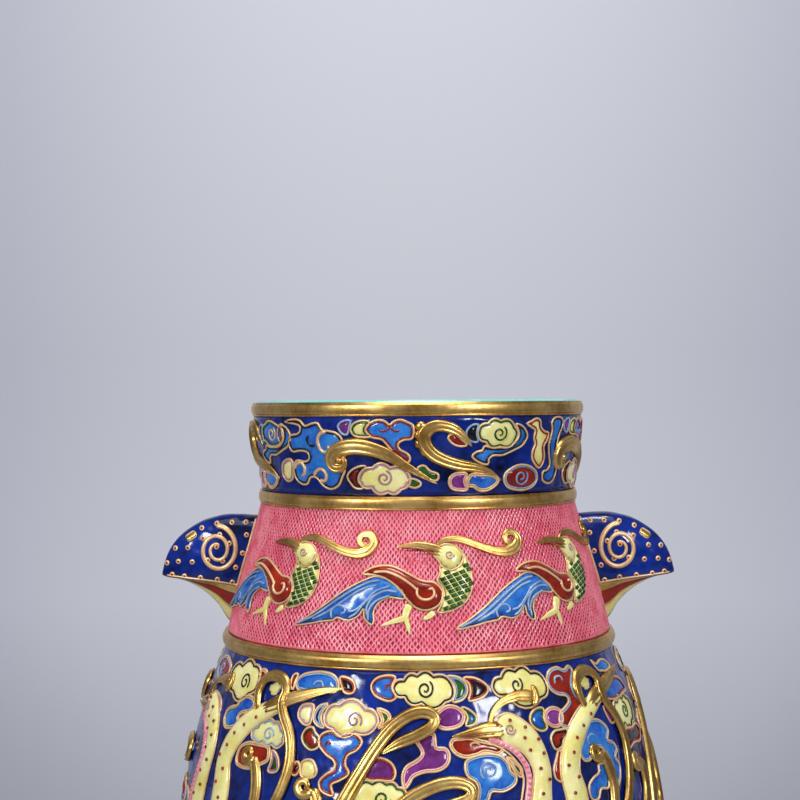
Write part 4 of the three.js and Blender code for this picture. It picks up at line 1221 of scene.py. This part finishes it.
def wing_ornament():
    """The gold work on one face, drawn flat: x out from the axis, y up."""
    made = bmesh.new()
    spiral = []
    for step in range(34):
        turn = step / 33
        angle = math.radians(84 + 765 * turn)
        reach = 8.8 - 7 * turn ** 0.8
        spiral.append((SPIRAL_MIDDLE[0] + 0.9 * reach * math.cos(angle),
                       SPIRAL_MIDDLE[1] + 1.02 * reach * math.sin(angle), 0.95 - 0.4 * turn))
    sweep(made, smooth_line(spiral, 0.7), PEACH, rise=0.7)
    for x, depth in HANDLE_DOTS:
        stud(made, x, TOP - depth, 1.05, 1.05, 0.3, PEACH)
        stud(made, x, TOP - depth, 0.62, 0.62, 0.44, RED)
    seam = []
    for step in range(13):
        level = 242.8 + 25.2 * step / 12
        seam.append((math.sqrt(wall_radius(level) ** 2 - face_depth(60, level) ** 2) + 0.35, level, 0.5))
    sweep(made, smooth_line(seam, 0.7), PEACH, rise=0.5)
    foot_line = [(out, handle_row(out)[1] + 0.5, 0.36) for out in (63, 70, 77, 84, 91.4)]
    sweep(made, smooth_line(foot_line, 0.7), PEACH, rise=0.4)
    out, level = HANDLE_OVAL[0], TOP - HANDLE_OVAL[1]
    oval = [(out - 1.2, level + 0.8), (out + 1, level - 0.7)]
    for width, height, metal in ((1.5, 0.35, PEACH), (1.05, 0.55, GILT)):
        line = smooth_line([(*oval[0], width), (*oval[1], width)], 0.4)
        ends = line[[0, -1]] + (line[[0, -1]] - line[[-1, 0]]) * 0.4
        sweep(made, smooth_line([ends[0], *line[1:-1], ends[1]], 0.4), metal, section_dome, rise=height)
    return made


def onto_wing(side, face_side):
    """Bends the flat ornament onto the front or back face of the right or left wing."""
    def bend(mesh):
        for vert in mesh.vertices:
            x, y, lift = vert.co
            vert.co = (side * x * MM, face_side * (face_depth(x, y) + lift) * MM, y * MM)
        if side * face_side > 0:
            mesh.flip_normals()
    return bend


for side, name in ((1, "right"), (-1, "left")):
    body = wing()
    if side < 0:
        bmesh.ops.scale(body, vec=(-1, 1, 1), verts=body.verts)
        bmesh.ops.reverse_faces(body, faces=body.faces)
    piece(f"{name}_wing", body, nodes=[f"{name}_handle"])
    for face_side, face_name in ((-1, "front"), (1, "back")):
        piece(f"{name}_wing_{face_name}_gold", wing_ornament(), onto_wing(side, face_side))


# ---- Handle pins ----
# Two short pins hold each wing from inside the neck. Only their round heads show, through the
# mouth.
for side, name in ((1, "right"), (-1, "left")):
    for number in (1, 2):
        node = f"{name}_handle_pin_{number}"
        low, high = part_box(node)
        middle = (low + high) / 2 / MM
        head = (high.z - low.z) / 2 / MM
        inner = min(abs(low.x), abs(high.x)) / MM
        outer = max(abs(low.x), abs(high.x)) / MM
        made = bmesh.new()
        bmesh.ops.create_cone(made, cap_ends=True, segments=24, radius1=2, radius2=2, depth=outer - inner - 1,
                              matrix=Matrix.LocRotScale((side * (inner + outer + 1) / 2, 0, middle.z),
                                                        Matrix.Rotation(math.pi / 2, 3, "Y"), None))
        bmesh.ops.create_uvsphere(made, u_segments=24, v_segments=12, radius=1, matrix=Matrix.LocRotScale(
            (side * (inner + 0.9), 0, middle.z), None, (0.9, head, head)))
        paint_all(made, METAL)
        piece(f"{name}_pin_{number}", made, nodes=[node])


# ---- Studio ----
# A pale seamless sweep, two large soft lamps in front and one above, and the camera level with
# the mouth of the vase.
FLOOR_DROP = 0.0002


def paper_with_painted_falloff(start, place):
    """Seamless paper with painted light falloff: painted shade greys it to the sides and towards the floor,
    so it is palest in the middle.
    """
    parts = start.node("ShaderNodeVectorMath", {"operation": "MULTIPLY"}, {0: place, 1: (3.4, 0, 0)})
    side = start.node("ShaderNodeVectorMath", {"operation": "LENGTH"}, {0: parts}, output="Value")
    height = start.node("ShaderNodeSeparateXYZ", sockets={0: place}, output="Z")
    wide = start.node("ShaderNodeMapRange", sockets={0: side * side, 1: 0.0, 2: 1.0})
    tall = start.node("ShaderNodeMapRange", sockets={0: height, 1: 0.0, 2: 0.17})
    paper = blend_colours(start, wide, (*linear(199, 201, 208), 1), (*linear(183, 186, 196), 1))
    colour = blend_colours(start, tall, (*linear(156, 159, 168), 1), paper)
    return start.node("ShaderNodeBsdfPrincipled", sockets={"Base Color": colour, "Roughness": 0.9})


# The backdrop's colour carries painted shade, darker to the sides and near the floor, in place of real light
# falloff.
BACKDROP_PAINTED_FALLOFF = finish("backdrop", paper_with_painted_falloff)
backdrop = bmesh.new()
floor_line = [(0, -2.5, -FLOOR_DROP), (0, 0.25, -FLOOR_DROP)]
for step in range(1, 13):
    angle = math.radians(90 * step / 12)
    floor_line.append((0, 0.25 + 0.35 * math.sin(angle), 0.35 * (1 - math.cos(angle)) - FLOOR_DROP))
floor_line.append((0, 0.6, 2.4))
corners = [backdrop.verts.new((-2.5, y, z)) for _, y, z in floor_line]
lines = [backdrop.edges.new(pair) for pair in zip(corners, corners[1:])]
wide = bmesh.ops.extrude_edge_only(backdrop, edges=lines)
far_edge = [part for part in wide["geom"] if isinstance(part, bmesh.types.BMVert)]
bmesh.ops.translate(backdrop, vec=(5, 0, 0), verts=far_edge)
bmesh.ops.recalc_face_normals(backdrop, faces=backdrop.faces)
backdrop_mesh = bpy.data.meshes.new("backdrop")
for face in backdrop.faces:
    face.smooth = True
backdrop.to_mesh(backdrop_mesh)
backdrop_mesh.materials.append(palette[BACKDROP_PAINTED_FALLOFF])
floor = bpy.data.objects.new("backdrop", backdrop_mesh)
bpy.context.scene.collection.objects.link(floor)


def lamp(name, place, target, size, power, tint=(1, 1, 1)):
    data = bpy.data.lights.new(name, "AREA")
    data.shape = "RECTANGLE"
    data.size, data.size_y = size
    data.energy = power
    data.color = tint
    made = bpy.data.objects.new(name, data)
    made.location = place
    made.rotation_euler = (Vector(target) - Vector(place)).to_track_quat("-Z", "Y").to_euler()
    bpy.context.scene.collection.objects.link(made)


middle = (0, 0, 0.24)
lamp("left_window", (-0.62, -0.75, 0.62), middle, (0.18, 0.26), 4.5)
lamp("right_window", (0.6, -0.8, 0.6), middle, (0.18, 0.26), 4.2)
lamp("overhead", (0, -0.35, 1.3), middle, (1.0, 0.7), 3.6)
lamp("backdrop_light", (0.02, -0.15, 1.0), (0.02, 0.62, 0.62), (0.3, 0.2), 3.4)

world = bpy.data.worlds.new("studio")
bpy.context.scene.world = world
world.use_nodes = True
room_light = world.node_tree.nodes["Background"].inputs
room_light["Color"].default_value = (0.85, 0.88, 0.95, 1)
room_light["Strength"].default_value = 0.27
bpy.context.scene.view_settings.view_transform = "Standard"

CAMERA_PLACE = (-0.0062, -9.65 * rim_ring_high.x, cad_high.z - 0.0017)
CAMERA_LENS = 71.66
CAMERA_TILT = math.radians(90 + 0.173)
CAMERA_ROLL = math.radians(-0.38)
camera_data = bpy.data.cameras.new("camera")
camera_data.lens = CAMERA_LENS
camera_data.sensor_width = 36
camera = bpy.data.objects.new("camera", camera_data)
turned_up = Matrix.Rotation(CAMERA_TILT, 4, "X") @ Matrix.Rotation(CAMERA_ROLL, 4, "Z")
camera.matrix_world = Matrix.Translation(CAMERA_PLACE) @ turned_up
bpy.context.scene.collection.objects.link(camera)
bpy.context.scene.camera = camera
